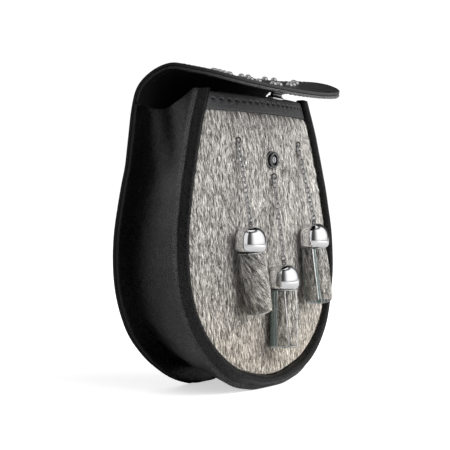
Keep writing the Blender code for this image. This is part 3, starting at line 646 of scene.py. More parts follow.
class Surface(Nodes):
    """A material built up round its shader, with places in millimetres on the object."""

    def __init__(self, name, color, roughness, metallic=0.0, **sockets):
        self.material = bpy.data.materials.new(name)
        self.material.use_nodes = True
        super().__init__(self.material.node_tree)
        self.shader = self.tree.nodes["Principled BSDF"]
        values = {"Base Color": (*color, 1.0), "Roughness": roughness, "Metallic": metallic}
        for key, value in (values | sockets).items():
            self.shader.inputs[key.replace("_", " ")].default_value = value
        self.material.diffuse_color = (*color, 1.0)

    def place(self, *stretch):
        """Where a point is on the object, in millimetres, with each axis scaled."""
        where = self.add("ShaderNodeTexCoord").outputs["Object"]
        scale = tuple(1000.0 * s for s in stretch or (1.0, 1.0, 1.0))
        return self.add("ShaderNodeMapping", {"Vector": where, "Scale": scale}).outputs[0]

    def axis(self, number):
        return self.add("ShaderNodeSeparateXYZ", {0: self.place()}).outputs[number]

    def noise(self, vector, scale, detail=2.0, roughness=0.5, distortion=0.0):
        return self.add("ShaderNodeTexNoise", {"Vector": vector, "Scale": scale, "Detail": detail,
                                               "Roughness": roughness, "Distortion": distortion}).outputs["Fac"]

    def mix(self, factor, a, b, blend="MIX"):
        return self.add("ShaderNodeMix", {0: factor, 6: a, 7: b}, data_type="RGBA", blend_type=blend).outputs[2]

    def bump(self, height, distance, strength=1.0, **normal):
        inputs = {"Height": height, "Distance": distance * MM, "Strength": strength, **normal}
        return self.add("ShaderNodeBump", inputs).outputs["Normal"]

    def join(self, **sockets):
        for key, socket in sockets.items():
            self.tree.links.new(socket, self.shader.inputs[key.replace("_", " ")])
        return self.material


def leather(name, color, low, high, grain=0.12, sheen=1.0):
    """Black grained leather: fine pebbles that shine more on their tops, and patchy gloss."""
    n = Surface(name, (color, color, color * 1.06), 0.4, Specular_IOR_Level=0.5)
    where = n.place()
    cells = n.add("ShaderNodeTexVoronoi", {"Vector": where, "Scale": 0.95, "Randomness": 1.0},
                  feature="DISTANCE_TO_EDGE").outputs["Distance"]
    pebbles = n.span(cells, 0.0, 0.30, 0.0, 1.0)
    fine, broad, worn = (n.noise(where, *form) for form in ((1.5, 3.0, 0.7), (0.05, 3.0, 0.55), (0.03, 2.0, 0.5)))
    height = n.blend(fine, 0.6, pebbles, 0.7)
    shine = n.span(height, 0.35, 0.9, 0.45 * sheen, 1.45 * sheen)
    return n.join(Normal=n.bump(height, grain, 1.0, Normal=n.bump(broad, 1.2, 0.6)),
                  Roughness=n.span(n.blend(fine, 0.4, broad, 0.6), 0.35, 0.65, low, high),
                  Specular_IOR_Level=n.math("MULTIPLY", shine, n.span(worn, 0.35, 0.65, 0.58, 0.72)))


def cut_edge(name, color, bend=None):
    """Cut side of leather: fibrous, dull and grey, with painted shade of a given tone at the flap's bend."""
    n = Surface(name, (color, color, color), 0.85, Specular_IOR_Level=0.2)
    tone = n.blend(n.noise(n.place(), 6.0, 2.0, 0.6), 0.5, n.noise(n.place(), 2.4, 4.0, 0.7), 0.5)
    fibres = n.ramp(tone, (0.36, color * 0.35), (0.5, color), (0.64, color * 1.9))
    # painted shade: towards the back the edge fades to the dark tone, for the shade inside the flap's bend
    if bend is not None:
        fibres = n.mix(n.span(n.axis(1), -25.0, 22.0, 0.0, 1.0), fibres, (bend, bend, bend, 1.0))
    return n.join(Base_Color=fibres, Normal=n.bump(tone, 0.25))


def suede(name, color, tint=(1.0, 1.0, 1.0)):
    """Flesh side of leather: napped, with pale flecks of fibre."""
    n = Surface(name, tuple(color * t for t in tint), 0.95, Specular_IOR_Level=0.06)
    tone = n.blend(n.noise(n.place(1.0, 0.6, 1.0), 4.5), 0.45, n.noise(n.place(), 1.6, 5.0, 0.75, 0.4), 0.55)
    stops = [(at, tuple(color * t * k for t in tint)) for at, k in ((0.35, 0.45), (0.52, 1.0), (0.66, 2.3))]
    return n.join(Base_Color=n.ramp(tone, *stops), Normal=n.bump(tone, 0.35))


def hide_under_fur(name, dark, light):
    """Roots of the fur: fine streaks that lie down the panel."""
    n = Surface(name, light, 0.9, Specular_IOR_Level=0.2)
    streaks = n.noise(n.place(2.6, 1.0, 0.35), 1.0, 4.0, 0.65)
    tone = n.blend(streaks, 0.75, n.noise(n.place(1.0, 1.0, 0.5), 0.12), 0.25)
    return n.join(Base_Color=n.ramp(tone, (0.36, dark), (0.64, light)), Normal=n.bump(streaks, 0.5))


def hair_coat(name, *stops):
    """Hair: its colour goes by the hair's own shade, darker at the root, uneven along it and warmer low down."""
    n = Surface(name, stops[1][1], 0.55, Specular_IOR_Level=0.35)
    shade, reach = (n.add("ShaderNodeAttribute", attribute_name=key).outputs["Fac"] for key in ("shade", "along"))
    tone = n.math("ADD", shade, n.span(n.noise(n.place(), 0.7), 0.3, 0.7, -0.10, 0.10))
    root, height = n.span(reach, 0.0, 0.6, 0.62, 1.0), n.axis(2)
    red, blue = (n.math("MULTIPLY", root, n.span(height, 20.0, 80.0, low, 1.0)) for low in (1.05, 0.93))
    tint = n.add("ShaderNodeCombineColor", {0: red, 1: root, 2: blue}).outputs[0]
    return n.join(Base_Color=n.mix(1.0, n.ramp(tone, *stops), tint, "MULTIPLY"))


def plated(name, color, low, high, smudge=0.04):
    """Plated metal with faint smudges and fine scratches."""
    n = Surface(name, color, low, 1.0)
    smudges = n.noise(n.place(), 0.35, 4.0, 0.6)
    scratches = n.noise(n.place(0.4, 3.0, 1.5), 4.0)
    return n.join(Roughness=n.span(smudges, 0.35, 0.7, low, high), Normal=n.bump(scratches, 0.004, 0.4),
                  Base_Color=n.ramp(smudges, (0.3, tuple(c * (1 - smudge) for c in color)), (0.7, color)))


def thread(name, color):
    """Waxed thread with a twist."""
    n = Surface(name, (color, color, color), 0.6, Specular_IOR_Level=0.3)
    wave = n.add("ShaderNodeTexWave", {"Vector": n.place(1.0, 0.6, 1.0), "Scale": 1.3, "Distortion": 1.5})
    twist = wave.outputs["Fac"]
    return n.join(Normal=n.bump(twist, 0.08, 0.8), Base_Color=n.ramp(twist, (0.2, color * 0.6), (0.9, color * 1.3)))


# ---- pieces -------------------------------------------------------------------------------------------------

def sheet_rows(start):
    """Places along the outer leather, close together where its outline turns."""
    low = max(start, FLOOR_Z + EDGE_ROUND)
    heights = CENTRE_Z - FOOT_ROWS_RADIUS * np.cos(np.radians(np.arange(8.0, 92.0, 1.0)))
    foot = heights[(heights > low + 0.3) & (heights < FOOT_ROWS_TO)][::2]
    middle = np.arange(max(FOOT_ROWS_TO, low + 1.5), float(place_on_flap(FLAP_ROUND_Y)) - 0.7, 2.0)
    return np.concatenate([[low], foot, middle, round_tip(np.linspace(0.0, 88.6, 44))])


def sheet_layer(rows, half, depth, thick):
    """The nearer and the deeper face of a layer of the flap, over half-widths at places along it."""
    x = np.maximum(half, 0.3)[:, None] * np.linspace(-1.0, 1.0, 57)[None, :]
    return sheet_point(rows[:, None], x, depth), sheet_point(rows[:, None], x, depth + thick)


def back_and_flap(mats):
    rows = sheet_rows(0.0)
    outer, inner = sheet_layer(rows, sheet_edge(rows) - EDGE_ROUND, 0.0, BACK_LEATHER)
    Shape().sheet(inner, outer, EDGE_ROUND, (2, 1, 0)).build(
        "back_and_flap_leather", mats, "black_leather", "back_and_flap")


def flap_lining(mats):
    rows = sheet_rows(LINING_FROM)
    foot = ease(np.clip((174.0 - rows) / 10.0, 0.0, 1.0))
    outer, inner = sheet_layer(rows, sheet_edge(rows) - 0.5 - 13.0 * foot, BACK_LEATHER + LAYER_GAP, LINING_LEATHER)
    Shape().sheet(inner, outer, 0.35, ragged=0.8).build("flap_lining_suede", mats, "lining_leather", "flap_lining")


def gusset(mats):
    q = np.concatenate([np.linspace(0.0, 1.0, 27), np.linspace(1.0, 1.985, 24)[1:], (1.995, 2.001, 2.02),
                        np.linspace(2.08, 3.0, 6)])
    stations, columns = 225, len(q) - 1
    lines = []
    for at in q:
        low, high = 90.0, 158.0
        for _ in range(30):
            middle = 0.5 * (low + high)
            _, y, z = gusset_point(at, middle)
            if z < value_at(GUSSET_TOP, "y", "z", y) - EDGE_ROUND:
                low = middle
            else:
                high = middle
        lines.append(np.stack(gusset_point(at, np.linspace(-1.0, 1.0, stations) * low), axis=1))
    outer = np.stack(lines, axis=1)
    normal = unit(np.cross(np.gradient(outer, axis=0), np.gradient(outer, axis=1)))
    if normal[stations // 2, 35, 2] > 0:
        normal = -normal
    inner = outer - normal * np.interp(q, (0.0, 0.4, 1.0, 3.0), (1.3, 1.5, LEATHER, LEATHER))[None, :, None]
    flange = np.clip((q - 1.96) / 0.06, 0.0, 1.0)[None, :, None]
    inner = inner * (1 - flange) + (outer + np.array((0.0, BACK_LEATHER, 0.0))) * flange
    outer[:, :, 2] = pressed(outer[:, :, 2])
    inner[:, :, 2] = np.maximum(inner[:, :, 2], outer[:, :, 2] + 0.01)
    rim = np.tile(np.where(np.arange(columns) < np.searchsorted(q, RIM_PART), 3, 0), stations - 1)
    Shape().sheet(outer, inner, 0.35, (rim, 1, 2)).build("gusset_leather", mats, "black_leather", "gusset", sharp=50.0)


def fur_hide(mats):
    z = np.concatenate([np.linspace(8.9, 30.0, 18), np.linspace(32.0, 166.6, 40), [167.7],
                        np.linspace(169, 177.2, 4)])[:, None]
    x = half_width("front", z, EDGE_GAP) * np.sin(np.radians(np.linspace(-90.0, 90.0, 45)))
    z = np.broadcast_to(z, x.shape)
    face = front_face(x, z)
    outer = np.stack([x, face + np.where(z > 167.0, BINDING + LAYER_GAP, MEAN_FUR), z], axis=2)
    inner = np.stack([x, face + MEAN_FUR + HIDE, z], axis=2)
    Shape().sheet(outer, inner, 0.05, rings=1).build("fur_hide", mats, "grey_fur", "fur_front")


def scatter(rng, count):
    """Roots spread over the front panel, as x and z."""
    spread = int(count * 1.45)
    x, z = rng.uniform(-FUR_REACH_X, FUR_REACH_X, spread), rng.uniform(FUR_FOOT_Z, FUR_TOP_Z, spread)
    inside = np.abs(x) < half_width("front", z, EDGE_GAP + 0.3)
    return x[inside][:count], z[inside][:count]


def front_hair(name, mat, seed, count, wide, long, darker):
    """Short hair of the front panel: lies down the panel in small locks of light and dark."""
    rng = np.random.default_rng(seed)
    x, z = scatter(rng, count)
    count = len(x)
    sidle = x + (z - 90.0) * 0.04 - sway(13, x, z, 8.0, 12.0, 2.0)
    value, aside = locks(15, sidle, z, LOCK_WIDTH, LOCK_LENGTH)
    tilt = sway(11, x, z, 26.0, 34.0, 0.22) + sway(12, x, z, 6.0, 9.0, 0.16) + sway(14, sidle, z, 1.4, 7.0, 0.2) \
        - aside * 0.22 * LOCK_WIDTH / long + rng.normal(0.0, 0.04, count)
    normal = front_normal(x, z)
    down = np.stack([np.sin(tilt), np.zeros(count), -np.cos(tilt)], axis=1)
    ahead = unit(down - normal * np.sum(down * normal, axis=1, keepdims=True))
    length = long * rng.uniform(0.75, 1.2, count)
    for _ in range(8):
        tip_x, tip_z = x + ahead[:, 0] * length, z + ahead[:, 2] * length
        past = (np.abs(tip_x) > half_width("front", np.maximum(tip_z, 8.3), 0.2)) | (tip_z < FUR_FOOT_Z + 0.1)
        blocked = np.hypot(tip_x, tip_z - SNAP_Z) < SNAP_ROOM
        length = np.where(past | blocked, length * 0.8, length)
    keep = (np.hypot(x, z - SNAP_Z) > SNAP_ROOM + 0.1) & (length > 0.9)
    edge = np.maximum(half_width("front", z) - np.abs(x), 0.0)
    # painted light: the term in x makes the fur lighter towards the right, the side the light comes from
    # painted shade: the term in aside ** 2 darkens the hairs at the sides of each lock, in the gaps between locks
    # painted shade: the term in exp(-edge / 0.8) darkens the hair beside the rim, which shades it
    shade = 0.555 + 0.001 * x + (value - 0.5) * 0.6 - 0.16 * aside ** 2 - 0.3 * np.exp(-edge / 0.8) \
        + sway(16, x, z, 5.0, 9.0, 0.08) + sway(17, x, z, 30.0, 40.0, 0.08) + rng.normal(0.0, 0.34, count)
    hairs = dict(root=np.stack([x, front_face(x, z) + MEAN_FUR, z], axis=1), normal=normal, ahead=ahead, length=length,
                 width=wide * rng.uniform(0.7, 1.25, count), lift=np.clip(rng.normal(0.24, 0.09, count), 0.03, 0.6),
                 turn=rng.normal(0.0, 0.5, count), shade=np.clip(shade - darker, 0.0, 1.0))
    hair_piece(name, mat, "grey_fur", **{key: values[keep] for key, values in hairs.items()})


def binding_grid(offset):
    """The folded strip's face over the mouth, drawn in by an offset."""
    dense, depth, height = smooth_line(BINDING_SECTION, "depth", "z", 241, 5)
    s = np.concatenate([(0.35, 1.4, 2.8, 4.2, 5.0), np.linspace(5.5, 7.5, 8), (8.0, 8.8), np.linspace(9.2, 16.0, 16),
                        np.linspace(16.8, dense[-1] - 0.35, 5)])
    slope_d, slope_z = np.gradient(depth), np.gradient(height)
    size = np.hypot(slope_d, slope_z)
    depth_in, z, z_true = (np.interp(s, dense, line) for line in (
        depth + offset * slope_z / size, height - offset * slope_d / size, height))
    x = np.linspace(-1.0, 1.0, 181)[:, None] * (half_width("front", z_true, EDGE_GAP) - 0.3)
    y = front_face(x, np.broadcast_to(z_true, x.shape)) + depth_in
    return np.stack([x, y, np.broadcast_to(z, x.shape)], axis=2)


def mouth_binding(mats, stitch_mat):
    outer = binding_grid(0.0)
    front = np.arange(outer.shape[1]) < 16
    threads = Shape()
    dip = np.zeros(outer.shape[:2])
    for x in BINDING_STITCHES:
        for deep, aside, high in ((0.75, 0.0, 0.75), (-0.15, 3.2, 1.2)):
            away = ((outer[..., 0] - x - aside) / 1.5) ** 2 + ((outer[..., 2] - STITCH_Z) / high) ** 2
            dip += deep * np.exp(-away)
        ends = np.array(((x - 1.3, 0.0, STITCH_Z + 0.15), (x + 1.3, 0.0, STITCH_Z - 0.15)))
        ends[:, 1] = front_face(ends[:, 0], ends[:, 2]) + 0.3
        threads.stitch(*ends, front_normal(np.array(x), np.array(STITCH_Z)), 0.42, 0.02)
    outer[..., 1] += dip * front[None, :]
    Shape().sheet(outer, binding_grid(BINDING), 0.3).build(
        "mouth_binding_leather", mats, "black_leather", "mouth_binding")
    threads.build("binding_stitches", [stitch_mat], "black_leather")


def edge_stitches(name, mat, slot, depth, facing, first):
    """A row of stitches round the outer leather, inset from its edge, on one face of it."""
    s = np.concatenate([np.linspace(first, 230.0, 500), round_tip(np.linspace(0.0, 89.9, 300))])
    s = np.unique(np.round(s, 4))
    side = np.stack([s, sheet_edge(s)], axis=1)
    ring = np.concatenate([side, side[::-1] * np.array((1.0, -1.0))])
    ahead = unit(np.roll(ring, -1, axis=0) - np.roll(ring, 1, axis=0))
    ahead[0], ahead[-1] = ahead[1], ahead[-2]
    ring = ring + np.stack([ahead[:, 1], -ahead[:, 0]], axis=1) * STITCH_INSET
    ring = ring[ring[:, 0] > first + 0.5]
    run = run_along(*ring.T)
    shape = Shape()
    for at in np.arange(STITCH_PITCH, run[-1] - STITCH_PITCH, STITCH_PITCH):
        s, x = (np.interp((at - STITCH_LENGTH / 2, at + STITCH_LENGTH / 2), run, column) for column in ring.T)
        shape.stitch(*sheet_point(s, x, depth), sheet_normal(s.mean(), x.mean()) * facing, 0.3, 0.05)
    shape.build(name, [mat], slot)


def flap_fuzz(mat):
    """Loose fibres along the lining's cut edge."""
    rng = np.random.default_rng(31)
    count = 5200
    s = rng.uniform(LINING_SEEN, LINE["s"][-1] - 0.2, count)
    sign = rng.choice((-1.0, 1.0), count)
    tip = rng.random(count) < 0.45
    s = np.where(tip, round_tip(rng.uniform(0.0, 1.0, count) ** 0.7 * 89.0), s)
    x = sign * (sheet_edge(s) - rng.uniform(0.0, 1.0, count))
    depth = rng.uniform(BACK_LEATHER + 0.4, BACK_LEATHER + LAYER_GAP + LINING_LEATHER, count)
    up = sheet_normal(s, x)
    root = sheet_point(s, x, depth)
    out = unit(root - sheet_point(s, np.zeros(count), depth) + rng.normal(0.0, 12.0, (count, 3)))
    ahead = unit(out - up * rng.uniform(0.0, 0.9, count)[:, None])
    hair_piece("flap_edge_fibres", mat, "lining_leather", root=root, ahead=ahead,
               normal=unit(np.cross(np.cross(ahead, up), ahead)), length=rng.uniform(0.4, 1.3, count),
               width=rng.uniform(0.08, 0.2, count), lift=rng.uniform(0.0, 0.5, count),
               turn=rng.uniform(-0.8, 0.8, count), shade=rng.random(count))


def strap_loop(mats, stitch_mat):
    half = ((34.6, 0.0), (30.0, 0.0), (27.4, 0.25), (25.2, 1.7), (23.2, 3.9), (20.5, 5.05), (12.0, 5.2))
    path = table("x y", *((-x, LOOP_NEAR_Y + y) for x, y in half), (0.0, LOOP_NEAR_Y + 5.3),
                 *((x, LOOP_NEAR_Y + y) for x, y in half[::-1]))
    _, x, y = smooth_line(path, "x", "y", 121, 2)
    away = unit(np.stack([-np.gradient(y), np.gradient(x), np.zeros(len(x))], axis=1))
    inner = np.stack(np.broadcast_arrays(x[:, None], y[:, None], np.linspace(150.4, 173.6, 25)), axis=2)
    Shape().sheet(inner + away[:, None] * 2.0, inner, 0.4).build(
        "strap_loop_leather", mats, "black_leather", "strap_loop")
    threads = Shape()
    up = np.array((0.0, 1.0, 0.0))
    for side in (-1, 1):
        corners = [np.array((side * x, LOOP_NEAR_Y + 2.02, z))
                   for x, z in ((28.6, 152.4), (33.2, 152.4), (33.2, 171.6), (28.6, 171.6))]
        for a, b in zip(corners, corners[1:] + corners[:1]):
            count = max(1, int(np.linalg.norm(b - a) / 3.2))
            for i in range(count):
                threads.stitch(a + (b - a) * (i + 0.12) / count, a + (b - a) * (i + 0.88) / count, up, 0.32, 0.05)
    threads.build("strap_loop_stitches", [stitch_mat], "black_leather")


def snap_part(name, mats, profile, split, seat, axis, segments):
    """A turned half of the snap, of the second metal up to a row of its profile."""
    shape = Shape()
    for rows, count, slot in ((slice(0, split + 1), segments, 1), (slice(split, None), 64, 0)):
        shape.lathe({key: values[rows] for key, values in profile.items()}, seat, axis, count, slot)
    shape.build(name + "_turned", mats, "nickel", name)


def snap_parts(*mats):
    seat = (0.0, float(front_face(0.0, SNAP_Z)) + 0.7, SNAP_Z)
    snap_part("snap_stud", mats, SNAP_STUD, 7, seat, (0, -1, 0), 48)
    s = float(place_on_flap(SOCKET_Y))
    top = sheet_point(s, 0.0, BACK_LEATHER + LINING_LEATHER + LAYER_GAP)
    snap_part("snap_socket", mats, SNAP_SOCKET, 6, top, -sheet_normal(s, 0.0), 64)


def flap_studs(mat):
    """Small domed studs set in pairs on an oval ring on the flap."""
    turn = np.linspace(0.0, 2 * math.pi, 721)
    oval_x = STUD_OVAL_X * np.cos(turn)
    oval_y = STUD_OVAL_CENTRE_Y + STUD_OVAL_Y * np.sin(turn)
    length = run_along(oval_x, oval_y)
    for number in range(2 * STUD_PAIRS):
        aside = (number % 2 - 0.5) * STUD_SPACING
        place = (length[-1] * (number // 2 + STUD_PHASE) / STUD_PAIRS + aside) % length[-1]
        x, y = (float(np.interp(place, length, oval)) for oval in (oval_x, oval_y))
        s = float(place_on_flap(y))
        Shape().lathe(STUD_DOME, sheet_point(s, x, -0.15), sheet_normal(s, x), 28).build(
            f"flap_stud_dome_{number + 1:02d}", [mat], "chrome", f"flap_stud_{number + 1:02d}")


def ring_path(centre, across):
    """A wire ring that stands upright along a level way across."""
    turn = circle(28)[:, None]
    return centre + RING_RADIUS * (np.array(across) * np.cos(turn) + np.array((0.0, 0.0, 1.0)) * np.sin(turn))


def link_path(centre, across, down):
    r = (LINK_WIDTH - LINK_WIRE) / 2
    straight = (LINK_LENGTH - LINK_WIRE) / 2 - r
    return np.array([centre + across * r * math.cos(a) + down * (end * straight + r * math.sin(a))
                     for end, first in ((1, 0), (-1, 180)) for a in np.radians(np.linspace(first, first + 180, 11))])


def chain(side, top, bottom, mat):
    top, bottom = np.array(top), np.array(bottom)
    length = np.linalg.norm(bottom - top)
    down = (bottom - top) / length
    wide = np.array((1.0, 0.0, 0.0))
    wide = unit(wide - down * np.dot(wide, down))
    deep = np.cross(down, wide)
    first = LINK_LENGTH / 2 - LINK_WIRE - RING_WIRE - LAYER_GAP
    pitch = (length - 2 * first) / (CHAIN_LINKS - 1)
    shape = Shape()
    for i in range(CHAIN_LINKS):
        twist = math.radians(14.0 * math.sin(2.1 * i + len(side)))
        across = (wide, deep)[i % 2] * math.cos(twist) + (deep, -wide)[i % 2] * math.sin(twist)
        shape.loop(link_path(top + down * (first + pitch * i), across, down), LINK_WIRE / 2, 10)
    shape.build("chain_links_" + side, [mat], "nickel", "chain_" + side)


def bell(side, centre, foot_z, mats):
    rise = np.radians(np.linspace(0.0, 90.0, 17))[1:]
    dome = {"r": BELL_RADIUS * np.cos(rise) ** (2 / BELL_POWER),
            "h": BELL_WIDEST + (BELL_TOP - BELL_WIDEST) * np.sin(rise) ** (2 / BELL_POWER)}
    skin = {name: np.concatenate([BELL_LIP[name], dome[name]]) for name in ("r", "h")}
    ring = ring_path((*centre, foot_z + BELL_SEAT + RING_RADIUS - RING_SUNK), (1, 0, 0))
    Shape().lathe(skin, (*centre, foot_z), (0, 0, 1), 72, steps=2).loop(ring, RING_WIRE, 10, slot=1).build(
        "bell_cap_" + side, mats, "chrome", "bell_" + side)


def tassel_point(row, angle, drop, inset):
    """Point of a tassel at an angle round it in radians, a length down its axis and an inset from its skin."""
    angle, drop, inset = np.broadcast_arrays(angle, drop, inset)
    low = np.maximum(drop, 0.0) / TASSEL_LENGTH
    r = TASSEL_RADIUS * value_at(TASSEL_FORM, "drop", "scale", drop) * (1.0 + row["flare"] * low ** 2) - inset
    centre = np.stack([row["bell_x"] + row["sway_x"] * low ** SWAY_POWER,
                       row["bell_y"] + row["sway_y"] * low ** SWAY_POWER, row["top_z"] - drop], axis=-1)
    slope = SWAY_POWER * np.maximum(low, 1e-6) ** (SWAY_POWER - 1) / TASSEL_LENGTH
    axis = unit(np.stack([row["sway_x"] * slope, row["sway_y"] * slope, -np.ones_like(low)], axis=-1))
    first = unit(np.array((1.0, 0.0, 0.0)) - axis * axis[..., :1])
    second = np.cross(first, axis)
    return centre + r[..., None] * (first * np.cos(angle)[..., None] + second * np.sin(angle)[..., None]), axis


def tassel_cut(row, angle, drop):
    """Drop along a strip, shortened towards the foot so that its square cut tips towards the front."""
    facing = 0.5 + 0.5 * np.cos(angle - math.radians(SEEN_FROM))
    low = np.clip(drop / TASSEL_LENGTH, 0.0, 1.0)
    return drop - row["slant"] * facing * low ** 2


def tassel(side, row, skin, edge, flesh, lip, hair):
    """Strips of hide with their hair side out, round an inner roll, cut off square."""
    strips = STRIPS[side]
    seams = np.radians(SEEN_FROM + np.stack([strips["top"], strips["foot"]], axis=1))
    seams = np.concatenate([seams, seams[:1] + 2 * math.pi])
    gaps = np.append(strips["gap"], strips["gap"][0])
    drops = np.linspace(0.3, TASSEL_LENGTH, 24)
    share = drops / TASSEL_LENGTH
    rng = np.random.default_rng(50 + len(side))
    shape = Shape()
    roots = []
    across = np.linspace(0.0, 1.0, 12)
    for k, shows in enumerate(strips["shows"].astype(int)):
        waver = sway(70 + k, drops, np.full(len(drops), float(k)), 3.5, 1.0, 0.25) / TASSEL_RADIUS
        low, high = (seams[n, 0] + (seams[n, 1] - seams[n, 0]) * share + waver
                     + sign * (gaps[n] * (0.35 + 0.65 * share) / 2 + 0.1) / TASSEL_RADIUS
                     for n, sign in ((k, 1), (k + 1, -1)))
        angle = low[:, None] + (high - low)[:, None] * across[None, :]
        drop = tassel_cut(row, angle, drops[:, None]) + rng.uniform(-0.25, 0.25) * share[:, None] ** 4
        skin_in = (HAIR_ROOM, 0.15, -0.2)[shows] + 0.35 * (np.abs(across - 0.5) * 2)[None, :] ** 4 * share[:, None]
        faces = [tassel_point(row, angle, drop, skin_in + thick)[0] for thick in (0.0, PELT)]
        # strips that show 2 are all of the pale edge material: a painted highlight on a lit cut edge
        shape.sheet(*faces, (0.4, 0.15, 0.1)[shows], ((0, 1, 2), (2, 1, 0), (3, 3, 3))[shows], rings=3)
        if shows == 2:
            continue
        reach = 0.3 if shows else 1.0
        number = int(TASSEL_HAIRS * TASSEL_RADIUS * float(np.mean(high - low)) * TASSEL_LENGTH * reach)
        u, v = rng.random(number), rng.random(number) * reach
        left, right = np.interp(v, share, low), np.interp(v, share, high)
        roots.append(np.stack([left + (right - left) * u, v * (TASSEL_LENGTH - 1.2), left, right], axis=1))
    turns = np.linspace(0.0, 2.6 * 2 * math.pi, 90)
    inset = np.interp(turns, (0.0, turns[-1]), (1.7, 6.6))
    around = math.radians(SEEN_FROM - 52) - turns[None, :]
    drop = tassel_cut(row, around, np.linspace(0.3, TASSEL_LENGTH - 0.3, 12)[:, None])
    faces = [tassel_point(row, around, drop, inset + thick)[0] for thick in (0.0, PELT)]
    shape.sheet(*faces, 0.12, (2, 1, 2), rings=2)
    shape.build("tassel_strips_" + side, [skin, edge, flesh, lip], "tassel_hide", "tassel_" + side)
    tassel_hair(side, row, hair, rng, *np.concatenate(roots).T)


def tassel_hair(side, row, mat, rng, angle, drop, left, right):
    """Hairs of a tassel, combed one way, that stay between the seams left and right of them."""
    number = len(angle)
    cut = tassel_cut(row, angle, drop)
    root, axis = tassel_point(row, angle, cut, HAIR_ROOM)
    normal = unit(root - tassel_point(row, angle, cut, 6.0)[0])
    around = unit(np.cross(axis, normal))
    onward = tassel_point(row, angle + 0.01, cut, HAIR_ROOM)[0] - root
    around = np.where(np.sum(around * onward, axis=1, keepdims=True) < 0, -around, around)
    arc = angle * TASSEL_RADIUS
    length = TASSEL_HAIR_LENGTH * rng.uniform(0.7, 1.2, number)
    lie = np.radians(row["swirl"])
    across = arc - drop * math.tan(lie)
    swirl = lie + sway(61, arc, drop, 5.0, 9.0, 0.4) + sway(62, across, drop, 1.2, 4.0, 0.5) \
        + rng.normal(0.0, 0.13, number)
    most, least = (np.arctan((room * TASSEL_RADIUS + 0.05) / length) for room in (right - angle, angle - left))
    swirl = np.clip(swirl, -least, most)
    ending = (TASSEL_LENGTH - 0.3 - drop) / np.maximum(np.cos(swirl), 0.3)
    value, _ = locks(63, across, drop, 0.7, 4.0)
    shade = 0.47 + (value - 0.5) * 0.7 + sway(64, across, drop, 4.0, 12.0, 0.2) + rng.normal(0.0, 0.32, number)
    hair_piece("tassel_hair_" + side, mat, "tassel_hide", root=root, normal=normal,
               ahead=unit(axis * np.cos(swirl)[:, None] + around * np.sin(swirl)[:, None]),
               length=np.minimum(length, np.maximum(ending, 0.4)), width=0.2 * rng.uniform(0.7, 1.3, number),
               lift=np.clip(rng.normal(0.14, 0.05, number), 0.02, 0.3), turn=rng.normal(0.0, 0.45, number),
               shade=np.clip(shade, 0.0, 1.0))


def hangers(link_metal, dark, chrome, mats, hair):
    for i, side in enumerate(HANGER_SIDES):
        row = {name: column[i] for name, column in HANGERS.items()}
        ring = (row["x"], row["ring_y"], row["ring_z"])
        centre = (row["bell_x"], row["bell_y"])
        wire = ring_path((*ring[:2], ring[2] + RING_RADIUS), (0, 1, 0))
        Shape().loop(wire, RING_WIRE, 10).build("chain_ring_" + side, [dark], "nickel", "chain_staple_" + side)
        chain(side, ring, (*centre, row["foot_z"] + BELL_SEAT + 2 * RING_RADIUS - RING_SUNK), link_metal)
        bell(side, centre, row["foot_z"], [chrome, dark])
        tassel(side, row, *mats, hair)


# ---- stage, light and camera --------------------------------------------------------------------------------

def floor():
    n = Surface("floor", (0.9, 0.9, 0.9), 0.9, Specular_IOR_Level=0.0, Emission_Color=(1.0, 1.0, 1.0, 1.0))
    seen = n.add("ShaderNodeLightPath").outputs["Is Camera Ray"]
    tone = n.span(seen, 0.0, 1.0, FLOOR_BOUNCE, FLOOR_SEEN)
    n.join(Base_Color=n.add("ShaderNodeCombineColor", {0: tone, 1: tone, 2: tone}).outputs[0],
           Emission_Strength=n.math("MULTIPLY", seen, FLOOR_GLOW))
    turn = circle(96)
    rings = [np.stack([r * np.cos(turn), r * np.sin(turn), np.full(96, -0.0002)], axis=1)
             for r in (0.02, 0.5, 4.0, 60.0)]
    faces = quads(4, 96, close_columns=True)[:, [0, 3, 2, 1]].tolist()
    mesh = bpy.data.meshes.new("floor")
    mesh.from_pydata(np.concatenate(rings).tolist(), [], [list(range(96)), *faces])
    mesh.materials.append(n.material)
    made = in_scene("floor", mesh)


def world_light():
    """White backdrop for the camera; for the object, the pale walls of a studio with a dark slot and back."""
    world = bpy.data.worlds.new("studio")
    bpy.context.scene.world = world
    world.use_nodes = True
    world.node_tree.nodes.clear()
    n = Nodes(world.node_tree)

    def chart(tab, value, low, high):
        at, light = tab.values()
        stops = [((a - low) / (high - low), float(tone)) for a, tone in zip(at, light / max(light))]
        return n.math("MULTIPLY", n.ramp(value, *stops), float(max(light)))

    way = n.add("ShaderNodeTexCoord").outputs["Generated"]
    x, y, z = n.add("ShaderNodeSeparateXYZ", {0: way}).outputs
    turn = n.math("ARCTAN2", x, n.math("MULTIPLY", y, -1.0))
    rise = n.math("MULTIPLY_ADD", n.math("ARCSINE", z), 1.0 / math.pi, 0.5)
    walls = chart(WALLS, n.math("MULTIPLY_ADD", turn, 0.5 / math.pi, 0.5), -180.0, 180.0)
    edges = (0.5 + (TOP_ELEVATION + side) / 180.0 for side in (-TOP_SOFT, TOP_SOFT))
    top = n.span(rise, *edges, 0.0, TOP_LIGHT, kind="SMOOTHSTEP")
    total = n.math("MULTIPLY_ADD", walls, chart(HEIGHTS, rise, -90.0, 90.0), top)
    seen = n.add("ShaderNodeLightPath").outputs["Is Camera Ray"]
    strength = n.add("ShaderNodeMix", {0: seen, 2: total, 3: BACKDROP}).outputs[0]
    light = n.add("ShaderNodeBackground", {"Color": (1.0, 1.0, 1.0, 1.0), "Strength": strength})
    n.add("ShaderNodeOutputWorld", {"Surface": light.outputs[0]})


def turned(made, at, ahead):
    """Puts a lamp or camera at a place, looking ahead."""
    made.location = at
    made.rotation_mode = "QUATERNION"
    made.rotation_quaternion = Vector(ahead).to_track_quat("-Z", "Y")


